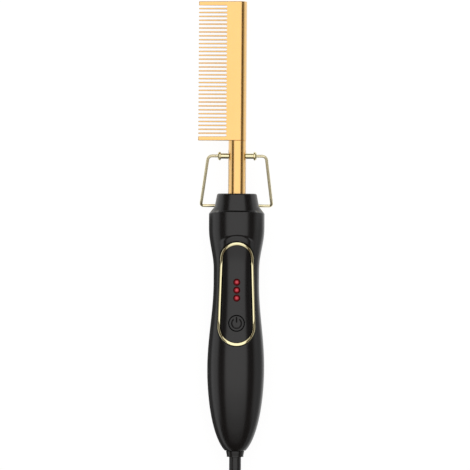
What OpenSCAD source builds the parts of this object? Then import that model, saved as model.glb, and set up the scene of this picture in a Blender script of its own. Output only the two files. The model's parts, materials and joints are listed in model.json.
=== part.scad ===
// Electric hot comb: a gilt straight-toothed comb with a heater in its spine, a neck tube that carries a
// folding wire stand, a two-shell grip with a control panel, and a mains cord on a swivel, put away
// as a hank.
// It lies on its back: +Y runs along the grip towards the comb, the teeth point to -X, +Z is the panel side.

/* [Comb head] */
// Length of the comb head along the axis
head_len = 88.4; // [60:0.1:120]
// Height of the head's lower end above the grip's widest point
head_y = 144.4; // [142:0.1:160]
// Radius of the head's round back
spine_r = 5.7; // [5.4:0.1:8]
// Distance from the axis to the tips of the teeth
tip_x = 24.9; // [18:0.1:32]
// Half the thickness of the teeth at their tips
tip_half = 0.5; // [0.3:0.05:1]
// Distance from the axis to the roots of the teeth
root_x = 6.95; // [6.5:0.05:9]
// Number of thin teeth between the two end teeth
teeth = 33; // [20:1:40]
// Width of a thin tooth
tooth_w = 0.9; // [0.6:0.05:1.1]
// Width of each end tooth
end_tooth_w = 2.65; // [1.5:0.05:4]

/* [Heater] */
// Radius of the heater bore in the head
heater_bore_r = 3.2; // [2.8:0.05:3.6]
// Solid metal left beyond the heater bore
head_cap = 8; // [4:0.5:14]
// Wall of the insulating sleeve round the heater
sleeve_wall = 0.6; // [0.3:0.05:0.8]
// Clearance round the sleeve and round the core
heater_gap = 0.05; // [0.02:0.01:0.1]
// Radius of the temperature sensor bead
sensor_r = 0.9; // [0.6:0.1:1.1]
// Length of the temperature sensor bead
sensor_len = 5; // [3:0.5:8]

/* [Neck tube] */
// Outer radius of the neck tube
neck_r = 5.6; // [5.2:0.1:5.7]
// Inner radius of the neck tube
neck_bore_r = 3.7; // [3.4:0.1:3.9]
// Radius of the spigot that enters the head
spigot_r = 4.5; // [4.2:0.1:4.8]
// Length of the spigot
spigot_len = 8; // [5:0.5:12]
// Lower end of the neck tube, inside the grip
neck_y = 88.5; // [88.2:0.1:90]

/* [Wire stand] */
// How far above the nose cap's flare the folded crossbar lies
crossbar_gap = 0.67; // [0.4:0.01:2]
// Radius of the stand's wire
wire_r = 0.95; // [0.7:0.05:1.2]
// Running clearance round the wire in its bushes
wire_gap = 0.05; // [0.02:0.01:0.1]
// Outer radius of each bush's barrel
bush_r = 1.72; // [1.6:0.02:2.2]
// Length of each bush from the neck tube's skin
bush_len = 6.7; // [5:0.1:8]
// Radius of the flange on each bush's outer end
bush_flange_r = 2.7; // [2.4:0.1:3]
// Thickness of that flange
bush_flange_t = 1.9; // [1.2:0.1:2.4]
// Half the width between the legs at the pivot
leg_top_x = 18.4; // [16:0.1:20]
// Half the width between the legs at the crossbar
leg_foot_x = 22.7; // [20:0.1:24]
// Length of the legs from the pivot to the crossbar
leg_len = 35.5; // [35.2:0.1:37]
// Bend radius of the wire beside the bushes
bend_r = 3; // [2:0.1:4]
// Bend radius of the wire at the crossbar's ends
heel_r = 1.5; // [1.3:0.1:2.5]
// Height of the crossbar's centre above the table when the stand lies folded
crossbar_z = 1; // [0.95:0.05:2]

/* [Grip] */
// Height of the grip's axis above the table
axis_z = 17.5; // [17.3:0.05:17.7]
// Radius of the grip at its widest point
belly_r = 17.9; // [17.8:0.1:18.4]
// Radius at the waist
waist_r = 14.25; // [13.6:0.05:15]
// Lower end of the straight waist
waist_low_y = 54.6; // [50:0.1:58]
// Upper end of the straight waist
waist_high_y = 63.5; // [60:0.1:68]
// Radius of the barrel at the upper end
barrel_r = 17.45; // [16.5:0.05:17.5]
// Lower end of the straight barrel
barrel_y = 88.9; // [84:0.1:92]
// Shoulder between the barrel and the nose cap
shoulder_y = 98.1; // [96:0.1:100]
// Lower end of the grip
tail_y = -52.2; // [-54:0.1:-50]
// Length of the tail's elliptical outline, if it ran to a point
tail_len = 55.3; // [55:0.1:60]
// Wall of the two shells
shell_wall = 2; // [1.4:0.1:2.4]
// Thickness of the ribs that cradle the inner fittings
rib_t = 1.5; // [1:0.1:2]

/* [Nose cap] */
// Where the nose cap's flare meets its cone
flare_y = 102.6; // [101:0.1:104]
// Radius where the flare meets the cone
flare_r = 14.1; // [13.4:0.1:15]
// Upper end of the nose cap
nose_y = 110.5; // [108:0.1:112]
// Radius of the cone at its upper end
nose_r = 12.5; // [12:0.1:13]
// Rounding of the upper edge
nose_round = 0.7; // [0.4:0.1:1]
// How far the cap's spigot reaches into the shells
cap_spigot = 5; // [3:0.5:6]
// Radius of the insulating bush between the neck tube and the cap
bush_outer_r = 10.4; // [9:0.1:10.8]
// Radius of the clamp ring on the neck tube
clamp_r = 9; // [7:0.1:10]
// Thickness of the clamp ring
clamp_t = 2.2; // [1.5:0.1:2.6]

/* [Control panel] */
// Centre of the trim ring's upper round end
ring_top_y = 69.7; // [66:0.1:70]
// Outer radius of the upper round end
ring_top_r = 10.7; // [10:0.1:11]
// Centre of the trim ring's lower round end
ring_low_y = 26; // [24:0.1:28]
// Outer radius of the lower round end
ring_low_r = 12.05; // [11.5:0.05:12.5]
// Width of the trim ring's band
ring_w = 1.9; // [1.6:0.05:2.6]
// How far the trim ring stands out of the grip
ring_proud = 0.35; // [0.1:0.05:0.6]
// Depth of the trim ring below the grip's surface
ring_depth = 1; // [0.6:0.1:1.4]
// Width of the raised bezel round the ring
bezel_w = 3; // [1:0.1:3.2]
// Height of the raised bezel
bezel_h = 0.5; // [0.2:0.1:0.8]
// Width of the ledge that the panel rests on
ledge_w = 1.5; // [1:0.1:2]
// Thickness of that ledge
ledge_t = 1.2; // [0.8:0.1:1.3]
// Centre of the power button
button_y = 28.8; // [26:0.1:32]
// Radius of the power button
button_r = 4.9; // [4:0.1:5.6]
// Clearance round the power button
button_gap = 0.12; // [0.08:0.01:0.2]
// Travel of the power button
button_travel = 0.6; // [0.3:0.1:0.8]
// Centre of the lamp nearest the button
lamp_y = 44.7; // [42:0.1:46]
// Pitch of the lamps
lamp_pitch = 5; // [4.6:0.1:5.2]
// Radius of a lamp's dome
lamp_r = 1.5; // [1.2:0.1:1.6]
// Radius of the dished recess round each lamp
recess_r = 2.15; // [1.9:0.05:2.3]

/* [Circuit board] */
// Height of the board's underside above the axis
board_z = 3; // [2:0.1:4]
// Thickness of the board
board_t = 1.6; // [1:0.1:2]
// Width of the board
board_w = 18; // [16:0.5:19]
// Clearance between the board and the upper screw's boss
board_gap = 3.6; // [3.2:0.1:6]
// Length of the board
board_len = 69; // [66:0.5:70]
// Height of the tactile switch's body
switch_h = 3.5; // [3:0.1:4]
// Side of the tactile switch's square body
switch_side = 6; // [5:0.1:7]
// Radius of the tactile switch's plunger
plunger_r = 1.7; // [1.4:0.1:2]
// Sliding clearance of the plunger in the switch
plunger_gap = 0.06; // [0.04:0.01:0.1]

/* [Screws] */
// Place of the upper shell screw
screw_high_y = 84.8; // [84.6:0.1:85]
// Place of the lower shell screw
screw_low_y = -16; // [-18:0.5:-15]
// Radius of a screw's shank
screw_r = 1; // [0.8:0.1:1.3]
// Radius of a screw's head
screw_head_r = 2.4; // [2.2:0.1:2.6]
// Radius of the bosses round the screws
boss_r = 3.2; // [3:0.1:3.3]

/* [Cord swivel] */
// Radius of the swivel's spindle
spindle_r = 3.4; // [3:0.1:3.6]
// Running clearance of the spindle in its socket
spindle_gap = 0.06; // [0.03:0.01:0.1]
// Radius of the socket's neck in the tail
socket_neck_r = 5; // [4.6:0.1:5.1]
// Radius of the socket's body
socket_r = 7.5; // [7.2:0.1:7.8]
// Place of the shoulder between the socket's neck and body
socket_y = -44.5; // [-45:0.1:-43]
// Length of the socket's body
socket_len = 17.5; // [17:0.1:18]
// Outer radius of the slip rings
slip_r = 4.4; // [4.2:0.1:4.6]
// Width of each slip ring
slip_w = 2.5; // [2:0.1:2.8]
// Length of the collar below the tail
collar_len = 3.7; // [3:0.1:5]
// Radius of the collar's upper end
collar_top_r = 5.6; // [5.2:0.1:5.8]
// Radius of the collar's lower end
collar_low_r = 5; // [4.6:0.1:5.2]

/* [Cord] */
// Diameter of the cord
cord_d = 5; // [4:0.1:5.2]
// Radius of the strain relief's upper part
boot_r = 3.65; // [3.2:0.05:4]
// Radius of the strain relief where the cord leaves it
boot_tip_r = 2.8; // [2.7:0.05:3]
// Innermost half width of the hank
hank_r = 15.25; // [15:0.25:18]
// Sideways step from one turn of the hank to the next
hank_step = 6; // [5.6:0.1:6.4]
// Drop from one layer of the hank to the next
hank_layer = 5.5; // [5.45:0.05:6]
// How far the waist is drawn in
hank_waist = 5; // [0:0.5:6]
// Turns of the cord in each layer
hank_turns = 1.5; // [1.5:1:2.5]
// Width of the tie
tie_w = 12; // [8:1:16]
// Thickness of the tie
tie_t = 0.8; // [0.5:0.1:1]

/* [Plug] */
// Width of the plug's face
plug_w = 35.3; // [33:0.1:37]
// Thickness of the plug
plug_h = 13.7; // [13.7:0.1:14]
// Length of the plug's body
plug_len = 27; // [24:0.5:30]
// Length of the plug's strain relief
plug_relief = 10; // [8:0.5:14]
// Radius of the plug's pins
pin_r = 2; // [1.9:0.05:2.1]
// Length of the plug's pins
pin_len = 19; // [18:0.5:20]
// Distance between the pins
pin_pitch = 18.6; // [17:0.1:19.2]

/* [Hidden] */
$fn = 64;
eps = 0.01;
// How far a cut runs past the face that it opens
over = 1;
gold = [0.93, 0.76, 0.42];
gilt_trim = [0.95, 0.85, 0.55];
black = [0.16, 0.16, 0.17];
soft_black = [0.12, 0.12, 0.13];
steel = [0.72, 0.73, 0.75];
brass = [0.8, 0.66, 0.35];
board_green = [0.1, 0.36, 0.22];
lamp_red = [0.72, 0.12, 0.18];
ceramic = [0.9, 0.88, 0.82];
wire_white = [0.85, 0.85, 0.83];

// Comb head: the gaps between the teeth share what the teeth leave of the length.
gaps = teeth + 1;
gap_w = (head_len - 2 * end_tooth_w - teeth * tooth_w) / gaps;
pitch = gap_w + tooth_w;
// The flanks touch a circle a little inside the round back, so that they cut it cleanly.
flank_r = spine_r - 0.03;
taper = asin(flank_r / norm([tip_x, tip_half])) - atan(tip_half / tip_x);

// Heater
bore_len = head_len - head_cap;
sleeve_r = heater_bore_r - heater_gap;
core_r = sleeve_r - sleeve_wall - heater_gap;
end_room = 0.5;
heater_y = head_y + spigot_len + end_room;
heater_len = head_y + bore_len - heater_y - 2 * end_room;
sensor_y = head_y + 1;
sensor_z = axis_z + 1.5;

// Wire stand: the folded legs slope down to the table.
wire_end_gap = 0.6;
wire_end_x = neck_r + wire_end_gap;
bush_in = 0.4;
leg_slope = asin((axis_z - crossbar_z) / leg_len);
pivot_y = flare_y + crossbar_gap + leg_len * cos(leg_slope);
leg_angle = atan((leg_foot_x - leg_top_x) / leg_len);
bend_turn = 90 - leg_angle;
bend_cut = bend_r * tan(bend_turn / 2);
heel_turn = 90 + leg_angle;
heel_cut = heel_r * tan(heel_turn / 2);
bend_lap = 3;
bend_thin = 0.02;

// Grip outline, as [radius, place along the axis]
steps_high = 7;
steps_low = 12;
steps_tail = 11;
function swell(r0, r1, t) = r0 + (r1 - r0) * (1 - cos(180 * t)) / 2;
tail_turn = asin(-tail_y / tail_len);
grip_outline = concat(
    [[barrel_r, shoulder_y], [barrel_r, barrel_y]],
    [for (i = [1:steps_high]) let (t = i / steps_high)
        [swell(barrel_r, waist_r, t), barrel_y + (waist_high_y - barrel_y) * t]],
    [for (i = [0:steps_low]) let (t = i / steps_low) [swell(waist_r, belly_r, t), waist_low_y * (1 - t)]],
    [for (i = [1:steps_tail]) let (a = tail_turn * i / steps_tail) [belly_r * cos(a), -tail_len * sin(a)]]);
tail_wall_y = tail_y + shell_wall;
function grip_r(y) = y > barrel_y ? barrel_r
    : y > waist_high_y ? swell(barrel_r, waist_r, (barrel_y - y) / (barrel_y - waist_high_y))
    : y > waist_low_y ? waist_r
    : y > 0 ? swell(waist_r, belly_r, 1 - y / waist_low_y)
    : belly_r * sqrt(1 - pow(y / tail_len, 2));

// Nose cap and neck fittings
cap_gap = 0.05;
cap_wall = 2;
clamp_y = neck_y + 0.4;
bush_y = clamp_y + clamp_t + 2 * cap_gap;
bush_top_y = nose_y - cap_wall;

// Control panel
seat_gap = 0.05;
button_top = grip_r(button_y);
button_flange = 0.9;
flange_room = 0.3;
flange_reach = button_r + button_flange + button_gap;
flange_top = sqrt(pow(button_top - shell_wall, 2) - pow(flange_reach, 2)) - flange_room;
flange_t = 1;
board_top = board_z + board_t;
plunger_proud = 0.9;
plunger_top = board_top + switch_h + plunger_proud;
plunger_len = 2.4;
plunger_pad = 0.3;
switch_room = 0.2;
panel_cut_z = 2;

// Lamps: a body with a foot on two legs, in a hole and a recess of the panel
lamp_h = 5;
lamp_gap = 0.1;
lamp_sunk = 0.15;
lamp_foot = 0.4;
lamp_foot_t = 1;
lamp_leg_x = 0.9;
lamp_leg_r = 0.25;
recess_t = 0.7;

// Board fittings, in order from its upper end
board_y = screw_high_y - boss_r - board_gap - board_len;
post_r = 1.8;
post_peg_r = 0.9;
post_x = board_w / 2 - 2.5;
post_inset = 5;
peg_rise = 0.8;
peg_gap = 0.05;
terminal_inset = 4;
terminal = [5, 6, 5];
chip = [5, 4, 1.75];
chip_y = lamp_y - 8.5;
triac_size = [10, 15, 4.5];
triac_gap = 6.5;
triac_y = board_y + board_len - terminal_inset - terminal.y / 2 - triac_gap - triac_size.y / 2;
capacitor_size = [5, 10.5, 8];
capacitor_gap = 7.25;
capacitor_y = triac_y - triac_size.y / 2 - capacitor_gap - capacitor_size.y / 2;
fuse_r = 2;
fuse_len = 9;
fuse_drop = 4;
capacitor_x = 4;
fuse_x = 4.5;

// Screws
screw_head_t = 1.6;
screw_grip = 5;
recess_floor = 3.5;
head_room = 0.2;
shank_room = 0.3;
pilot_room = 0.5;
slot = [2.6, 0.7, 1.4];

// Swivel
end_gap = 0.3;
chamber_r = 6;
chamber_y = socket_y + 1;
flange_y = chamber_y + 0.2;
spindle_flange_r = 5.5;
spindle_flange_t = 2;
socket_top_y = socket_y + socket_len;
socket_end = 1.5;
lead_hole_r = 2.2;
slip_y = [flange_y + 3.8, flange_y + 8.3];
spindle_top_y = slip_y[1] + slip_w + 2.2;
brush = [4, slip_w - 0.6, 2.4];
brush_gap = 0.05;
collar_y = tail_y - end_gap;
boot_y = collar_y - collar_len;
lip_w = 0.3;

// Cord: from the strain relief to the hank's top layer, round the hank, and on to the plug.
cord_r = cord_d / 2;
cord_exit_y = -86;
boot_shoulder_y = -66;
lead_route = [[0, cord_exit_y, axis_z], [0, -91, 17.5], [-0.6, -95.8, 17.4], [-2.2, -100.3, 17.3],
    [-4.8, -104.3, 17.2], [-8.3, -107.6, 17.2], [-12.5, -110, 17.3], [-16.7, -112.4, 17.5],
    [-20.2, -115.7, 17.8], [-22.8, -119.7, 18.2], [-24.4, -124.2, 18.7], [-25, -129, 19], [-25, -134, 19]];
tail_route = [[-25, -209, 2.5], [-25, -214, 2.5], [-24.4, -218.8, 2.5], [-22.8, -223.3, 2.5],
    [-20.2, -227.3, 2.5], [-16.7, -230.6, 2.5], [-12.5, -233, 2.7], [-8.3, -235.4, 3], [-4.8, -238.7, 3.7],
    [-2.2, -242.7, 4.9], [-0.6, -247.2, 6.2], [0, -252, 6.85], [0, -257, 6.85]];
hank_high_y = -134;
hank_low_y = -209;
hank_run = hank_high_y - hank_low_y;
hank_y = (hank_high_y + hank_low_y) / 2;
hank_layers = 4;
hank_loops = hank_layers * hank_turns;
hank_wide = hank_r + hank_turns * hank_step;
loop_rings = 24;
half_run = loop_rings / 8;

// Half width of the hank's track after u turns: in by a step a turn, then out again.
function track(u) = let (v = u - 2 * hank_turns * floor(u / (2 * hank_turns)))
    hank_wide - hank_step * (u < 0 ? u : u > hank_loops ? hank_loops - u : min(v, 2 * hank_turns - v));
// Part of a climb done after u turns, for a climb centred on the run at turn c.
function climbed(u, c) = (1 - cos(180 * max(0, min(1, (u - c) * 4 + 0.5)))) / 2;
function layer_z(u) = cord_r + hank_layer * (hank_layers - 1
    - climbed(u, hank_turns) - climbed(u, 2 * hank_turns) - climbed(u, 3 * hank_turns));
function waist(t) = (1 + cos(180 * t)) / 2;
// Point k rings into a turn, which starts at the middle of the left-hand run and goes away from the grip.
function hank_point(k) = let (u = k / loop_rings, m = k - loop_rings * floor((k + half_run) / loop_rings),
    q = loop_rings / 4, w = track(u), z = layer_z(u))
    m <= half_run ? [-w + hank_waist * waist(m / half_run), hank_y - hank_run / 2 * m / half_run,
        z + tie_t * waist(m / half_run)]
    : m <= half_run + q ? let (a = 180 * (m - half_run) / q) [-w * cos(a), hank_low_y - w * sin(a), z]
    : m <= 3 * half_run + q ? let (t = (m - 2 * q) / half_run)
        [w - hank_waist * waist(t), hank_y + hank_run / 2 * t, z + tie_t * waist(t)]
    : let (a = 180 * (m - 3 * half_run - q) / q) [w * cos(a), hank_high_y + w * sin(a), z];
hank_end = hank_loops * loop_rings + half_run;
tie_gap = 0.1;

function length_of(p) = len(p) < 2 ? 0 : [for (i = 0, s = 0; i < len(p); i = i + 1,
    s = s + (i < len(p) ? norm(p[i] - p[i - 1]) : 0)) s][len(p) - 1];
// Least distance between the skins of turns that aren't neighbours along the cord
function least_gap(p, skip) = min([for (i = [0:len(p) - 1 - skip]) for (j = [i + skip:len(p) - 1])
    norm(p[i] - p[j])]) - cord_d;

// Plug
plug_y = -257;
plug_face_y = plug_y - plug_relief - plug_len;
plug_z = plug_h / 2;
plug_neck_w = 15;
plug_waist_w = 19;
plug_waist_y = plug_face_y + 20;
plug_grip_y = plug_face_y + 8;
relief_wall = 0.6;
relief_inset = 1.5;

// Sweeps a polygonal section of radius r along the points of route p.
function heading(p, i) = let (d = p[min(i + 1, len(p) - 1)] - p[max(i - 1, 0)]) d / norm(d);
function ring_at(p, i, r, sides) = let (t = heading(p, i), s = cross(t, [0, 0, 1]), side = s / norm(s),
    up = cross(side, t)) [for (k = [0:sides - 1]) let (a = 90 + 360 * k / sides)
        p[i] + r * (cos(a) * side + sin(a) * up)];
module swept(p, r, sides) {
    rings = [for (i = [0:len(p) - 1]) each ring_at(p, i, r, sides)];
    last = (len(p) - 1) * sides;
    skin = [for (i = [0:len(p) - 2]) for (k = [0:sides - 1]) let (a = i * sides + k,
        b = i * sides + (k + 1) % sides) each [[a, b, b + sides], [a, b + sides, a + sides]]];
    caps = [for (k = [1:sides - 2]) each [[0, k + 1, k], [last, last + k, last + k + 1]]];
    polyhedron(concat(rings, [for (i = [0:1]) p[i * (len(p) - 1)]]), concat(skin, caps));
}

// Turns a flat outline of [radius, place along Y] about the grip's axis.
module turned(angle = 360, start = 0) {
    translate([0, 0, axis_z]) rotate([-90, 0, 0]) rotate([0, 0, start])
        rotate_extrude(angle = angle) children();
}
module rod(r, y0, y1, inner = 0) {
    turned() translate([inner, y0]) square([r - inner, y1 - y0]);
}
// Lifts a flat outline in X and Y from height z above the axis.
module lifted(z, h) {
    translate([0, 0, axis_z + z]) linear_extrude(h) children();
}
module upright(x, y, z, r, h) {
    translate([x, y, axis_z + z]) cylinder(r = r, h = h);
}

module comb_section() {
    circle(spine_r);
    polygon([[-flank_r * sin(taper), flank_r * cos(taper)], [-tip_x, tip_half], [-tip_x, -tip_half],
        [-flank_r * sin(taper), -flank_r * cos(taper)]]);
}

module comb_head() color(gold) difference() {
    translate([0, head_y + head_len, axis_z]) rotate([90, 0, 0]) linear_extrude(head_len) comb_section();
    lifted(-spine_r - over, 2 * (spine_r + over)) for (i = [0:gaps - 1]) {
        y = head_y + end_tooth_w + i * pitch;
        translate([-tip_x - over, y]) square([tip_x + over - root_x - gap_w / 2, gap_w]);
        translate([-root_x - gap_w / 2, y + gap_w / 2]) circle(gap_w / 2);
    }
    rod(heater_bore_r, head_y - over, head_y + bore_len);
    rod(spigot_r, head_y - over, head_y + spigot_len);
}

module heater_core() color(ceramic) rod(core_r, heater_y, heater_y + heater_len);
module heater_sleeve() color(wire_white)
    rod(sleeve_r, heater_y, heater_y + heater_len, sleeve_r - sleeve_wall);
module temperature_sensor() color(ceramic)
    translate([0, sensor_y, sensor_z]) rotate([-90, 0, 0]) cylinder(r = sensor_r, h = sensor_len);

module neck_tube() color(gold) difference() {
    union() {
        rod(neck_r, neck_y, head_y);
        rod(spigot_r, head_y - eps, head_y + spigot_len);
    }
    rod(neck_bore_r, neck_y - over, head_y + spigot_len + over);
    for (side = [-1, 1]) translate([0, pivot_y, axis_z]) rotate([0, side * 90, 0])
        cylinder(r = bush_r, h = neck_r + over);
}

// A bush is pressed into the tube's side and its bore takes the wire's end.
module stand_bush(side) color(gold) {
    translate([0, pivot_y, axis_z]) rotate([0, side * 90, 0]) difference() {
        union() {
            translate([0, 0, neck_bore_r + bush_in])
                cylinder(r = bush_r, h = neck_r + bush_len - neck_bore_r - bush_in);
            translate([0, 0, neck_r + bush_len - bush_flange_t])
                cylinder(r = bush_flange_r, h = bush_flange_t);
        }
        translate([0, 0, wire_end_x - wire_end_gap / 2]) cylinder(r = wire_r + wire_gap, h = bush_len + over);
    }
}

// A bend turns by the angle turn from the direction of +X about a centre below its start. It is a hair
// thinner than the wire and runs a little into both straight lengths.
module bend(r, turn) translate([0, -r, 0]) rotate([0, 0, 90 - turn - bend_lap])
    rotate_extrude(angle = turn + 2 * bend_lap) translate([r, 0]) circle(wire_r - bend_thin);

// The stand lies in its own plane: X across, Y down the legs from the pivot.
module stand_wire() color(gilt_trim) translate([0, pivot_y, axis_z]) rotate([leg_slope, 0, 0]) {
    knee = [leg_top_x - bend_cut, 0];
    ankle = [leg_top_x + bend_cut * sin(leg_angle), -bend_cut * cos(leg_angle)];
    heel = [leg_foot_x - heel_cut * sin(leg_angle), -leg_len + heel_cut * cos(leg_angle)];
    for (side = [0, 1]) mirror([side, 0, 0]) {
        translate([wire_end_x, 0, 0]) rotate([0, 90, 0]) cylinder(r = wire_r, h = knee.x - wire_end_x);
        translate([knee.x, 0, 0]) bend(bend_r, bend_turn);
        translate([ankle.x, ankle.y, 0]) rotate([90, 0, leg_angle])
            cylinder(r = wire_r, h = norm(heel - ankle));
        translate([heel.x, heel.y, 0]) rotate([0, 0, -bend_turn]) bend(heel_r, heel_turn);
    }
    translate([heel_cut - leg_foot_x, -leg_len, 0]) rotate([0, 90, 0])
        cylinder(r = wire_r, h = 2 * (leg_foot_x - heel_cut));
}

module nose_bush() color(ceramic) rod(bush_outer_r, bush_y, bush_top_y, neck_r + cap_gap);
module neck_clamp() color(steel) rod(clamp_r, clamp_y, clamp_y + clamp_t, neck_r);

module nose_cap() color(black) turned() polygon([
    [bush_outer_r + cap_gap, shoulder_y - cap_spigot],
    [barrel_r - shell_wall - cap_gap, shoulder_y - cap_spigot],
    [barrel_r - shell_wall - cap_gap, shoulder_y], [barrel_r, shoulder_y], [flare_r, flare_y],
    [nose_r, nose_y - nose_round], [nose_r - nose_round / 3, nose_y - nose_round / 3],
    [nose_r - nose_round, nose_y], [neck_r + cap_gap, nose_y], [neck_r + cap_gap, bush_top_y],
    [bush_outer_r + cap_gap, bush_top_y]]);

// Outline of the grip, grown by g, down to the axis
module grip_area(g) polygon(concat([[0, shoulder_y]],
    [for (p = grip_outline) [p.x + g, p.y]], [[0, tail_y]]));
module wall_area() polygon(concat(grip_outline, [[0, tail_y], [0, tail_wall_y]],
    [for (i = [len(grip_outline) - 1:-1:0]) let (p = grip_outline[i])
        if (p.y > tail_wall_y) [p.x - shell_wall, p.y]]));

// Skin of the grip between growths g0 and g1
module skin_area(g0, g1) polygon(concat([for (p = grip_outline) [p.x + g1, p.y]],
    [for (i = [len(grip_outline) - 1:-1:0]) [grip_outline[i].x + g0, grip_outline[i].y]]));

// Egg outline of the trim ring, grown by g: two arcs joined by the common tangents of their circles
ring_turn = asin((ring_low_r - ring_top_r) / (ring_top_y - ring_low_y));
arc_steps = 24;
function arc_points(y, r, a0, a1) = [for (i = [0:arc_steps]) let (a = a0 + (a1 - a0) * i / arc_steps)
    [r * cos(a), y + r * sin(a)]];
module egg(g) polygon(concat(arc_points(ring_top_y, ring_top_r + g, ring_turn, 180 - ring_turn),
    arc_points(ring_low_y, ring_low_r + g, 180 - ring_turn, 360 + ring_turn)));
// Layer of the grip's front between growths g0 and g1, inside the egg grown by g
module panel_layer(g, g0, g1) intersection() {
    turned(180, 180) skin_area(g0, g1);
    lifted(panel_cut_z, belly_r + over) egg(g);
}

// Rib inside one half of the grip, with a seat of radius r from place y
module cradle(start, r, y, t) turned(180, start) intersection() {
    translate([r, y]) square([belly_r, t]);
    grip_area(-shell_wall / 2);
}
module cradles(start) {
    cradle(start, clamp_r + seat_gap, clamp_y, clamp_t);
    for (y = [socket_y + rib_t, socket_top_y - 2 * rib_t]) cradle(start, socket_r + seat_gap, y, rib_t);
}

module boss(y, side) intersection() {
    upright(0, y, side > 0 ? 0 : -belly_r, boss_r, belly_r);
    turned() grip_area(-shell_wall / 2);
}

module front_shell() color(black) difference() {
    union() {
        turned(180, 180) wall_area();
        panel_layer(bezel_w, -shell_wall / 2, bezel_h);
        panel_layer(ledge_w, -shell_wall - ledge_t, -shell_wall / 2);
        for (y = [screw_high_y, screw_low_y]) boss(y, 1);
        cradles(180);
    }
    difference() {
        lifted(panel_cut_z, belly_r + over) egg(seat_gap);
        turned() grip_area(-shell_wall);
    }
    lifted(panel_cut_z, belly_r + over) egg(-ledge_w);
    for (y = [screw_high_y, screw_low_y]) upright(0, y, -over, screw_r, over + screw_grip + pilot_room);
    rod(socket_neck_r, tail_y - over, tail_wall_y + over);
}

module rear_shell() color(black) difference() {
    union() {
        turned(180, 0) wall_area();
        for (y = [screw_high_y, screw_low_y]) boss(y, -1);
        cradles(0);
        for (x = [-post_x, post_x]) for (y = [board_y + post_inset, board_y + board_len - post_inset]) {
            intersection() {
                upright(x, y, -belly_r, post_r, belly_r + board_z);
                turned() grip_area(-shell_wall / 2);
            }
            upright(x, y, board_z - eps, post_peg_r, board_t + peg_rise);
        }
    }
    for (y = [screw_high_y, screw_low_y]) {
        upright(0, y, -belly_r - over, screw_head_r + head_room, belly_r + over - recess_floor);
        upright(0, y, -belly_r, screw_r + shank_room, belly_r + over);
    }
    rod(socket_neck_r, tail_y - over, tail_wall_y + over);
    translate([-belly_r, tail_y, -belly_r]) cube([2 * belly_r, shoulder_y - tail_y, belly_r]);
}

module shell_screws() color(steel) for (y = [screw_high_y, screw_low_y]) difference() {
    union() {
        upright(0, y, -recess_floor - screw_head_t, screw_head_r, screw_head_t);
        upright(0, y, -recess_floor - eps, screw_r, recess_floor + screw_grip);
    }
    for (a = [0, 90]) translate([0, y, axis_z - recess_floor - screw_head_t]) rotate([0, 0, a])
        cube(slot, center = true);
}

module control_panel() color(soft_black) difference() {
    panel_layer(-seat_gap, -shell_wall, 0);
    difference() {
        lifted(panel_cut_z, belly_r + over) difference() {
            egg(over);
            egg(-ring_w - seat_gap);
        }
        turned() grip_area(-ring_depth);
    }
    upright(0, button_y, 0, button_r + button_gap, belly_r + over);
    for (i = [0:2]) {
        y = lamp_y + i * lamp_pitch;
        upright(0, y, 0, lamp_r + lamp_gap, belly_r);
        upright(0, y, grip_r(y) - recess_t, recess_r, recess_t + over);
    }
}

module trim_ring() color(gilt_trim) difference() {
    panel_layer(0, -ring_depth, ring_proud);
    lifted(panel_cut_z, belly_r + over) egg(-ring_w);
}

module power_button() color(soft_black) {
    intersection() {
        upright(0, button_y, flange_top - eps, button_r, belly_r);
        turned() grip_area(0);
    }
    upright(0, button_y, flange_top - flange_t, button_r + button_flange, flange_t);
    upright(0, button_y, plunger_top, plunger_r + plunger_pad, flange_top - flange_t - plunger_top + eps);
}

module switch_plunger() color(soft_black)
    upright(0, button_y, plunger_top - plunger_len, plunger_r, plunger_len);

module tact_switch() color(steel) difference() {
    translate([-switch_side / 2, button_y - switch_side / 2, axis_z + board_top])
        cube([switch_side, switch_side, switch_h]);
    upright(0, button_y, plunger_top - plunger_len - button_travel - switch_room, plunger_r + plunger_gap,
        switch_h + over);
}

// A lamp stands on two legs on the board, and its dome shows in the panel's recess.
module lamp(i) color(lamp_red) {
    y = lamp_y + (i - 1) * lamp_pitch;
    dome_z = grip_r(y) - lamp_r - lamp_sunk;
    upright(0, y, dome_z - lamp_h, lamp_r, lamp_h);
    translate([0, y, axis_z + dome_z]) sphere(lamp_r);
    upright(0, y, dome_z - lamp_h, lamp_r + lamp_foot, lamp_foot_t);
    for (x = [-lamp_leg_x, lamp_leg_x])
        upright(x, y, board_top, lamp_leg_r, dome_z - lamp_h - board_top + eps);
}

module circuit_board() color(board_green) difference() {
    translate([-board_w / 2, board_y, axis_z + board_z]) cube([board_w, board_len, board_t]);
    for (x = [-post_x, post_x]) for (y = [board_y + post_inset, board_y + board_len - post_inset])
        upright(x, y, board_z - over, post_peg_r + peg_gap, board_t + 2 * over);
}

module on_board(x, y, size) translate([x - size.x / 2, y - size.y / 2, axis_z + board_top]) cube(size);
module under_board(x, y, size) translate([x - size.x / 2, y - size.y / 2, axis_z + board_z - size.z])
    cube(size);

module controller_chip() color(soft_black) on_board(0, chip_y, chip);
module triac() color(soft_black) under_board(0, triac_y, triac_size);
module capacitor() color(gold) under_board(-capacitor_x, capacitor_y, capacitor_size);
module fuse() color(ceramic) translate([fuse_x, capacitor_y - fuse_drop, axis_z + board_z - fuse_r])
    rotate([-90, 0, 0]) cylinder(r = fuse_r, h = fuse_len);
module wire_terminals() color(steel)
    for (y = [board_y + terminal_inset, board_y + board_len - terminal_inset]) under_board(0, y, terminal);

terminal_z = axis_z + board_z - terminal.z / 2;
terminal_high_y = board_y + board_len - terminal_inset + terminal.y / 2;
terminal_low_y = board_y + terminal_inset - terminal.y / 2;
lead_r = 0.65;
sensor_lead_r = 0.35;
sensor_pad_z = axis_z + board_top + sensor_lead_r + eps;
sensor_pad_x = 4;
supply_x = 1.1;

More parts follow.
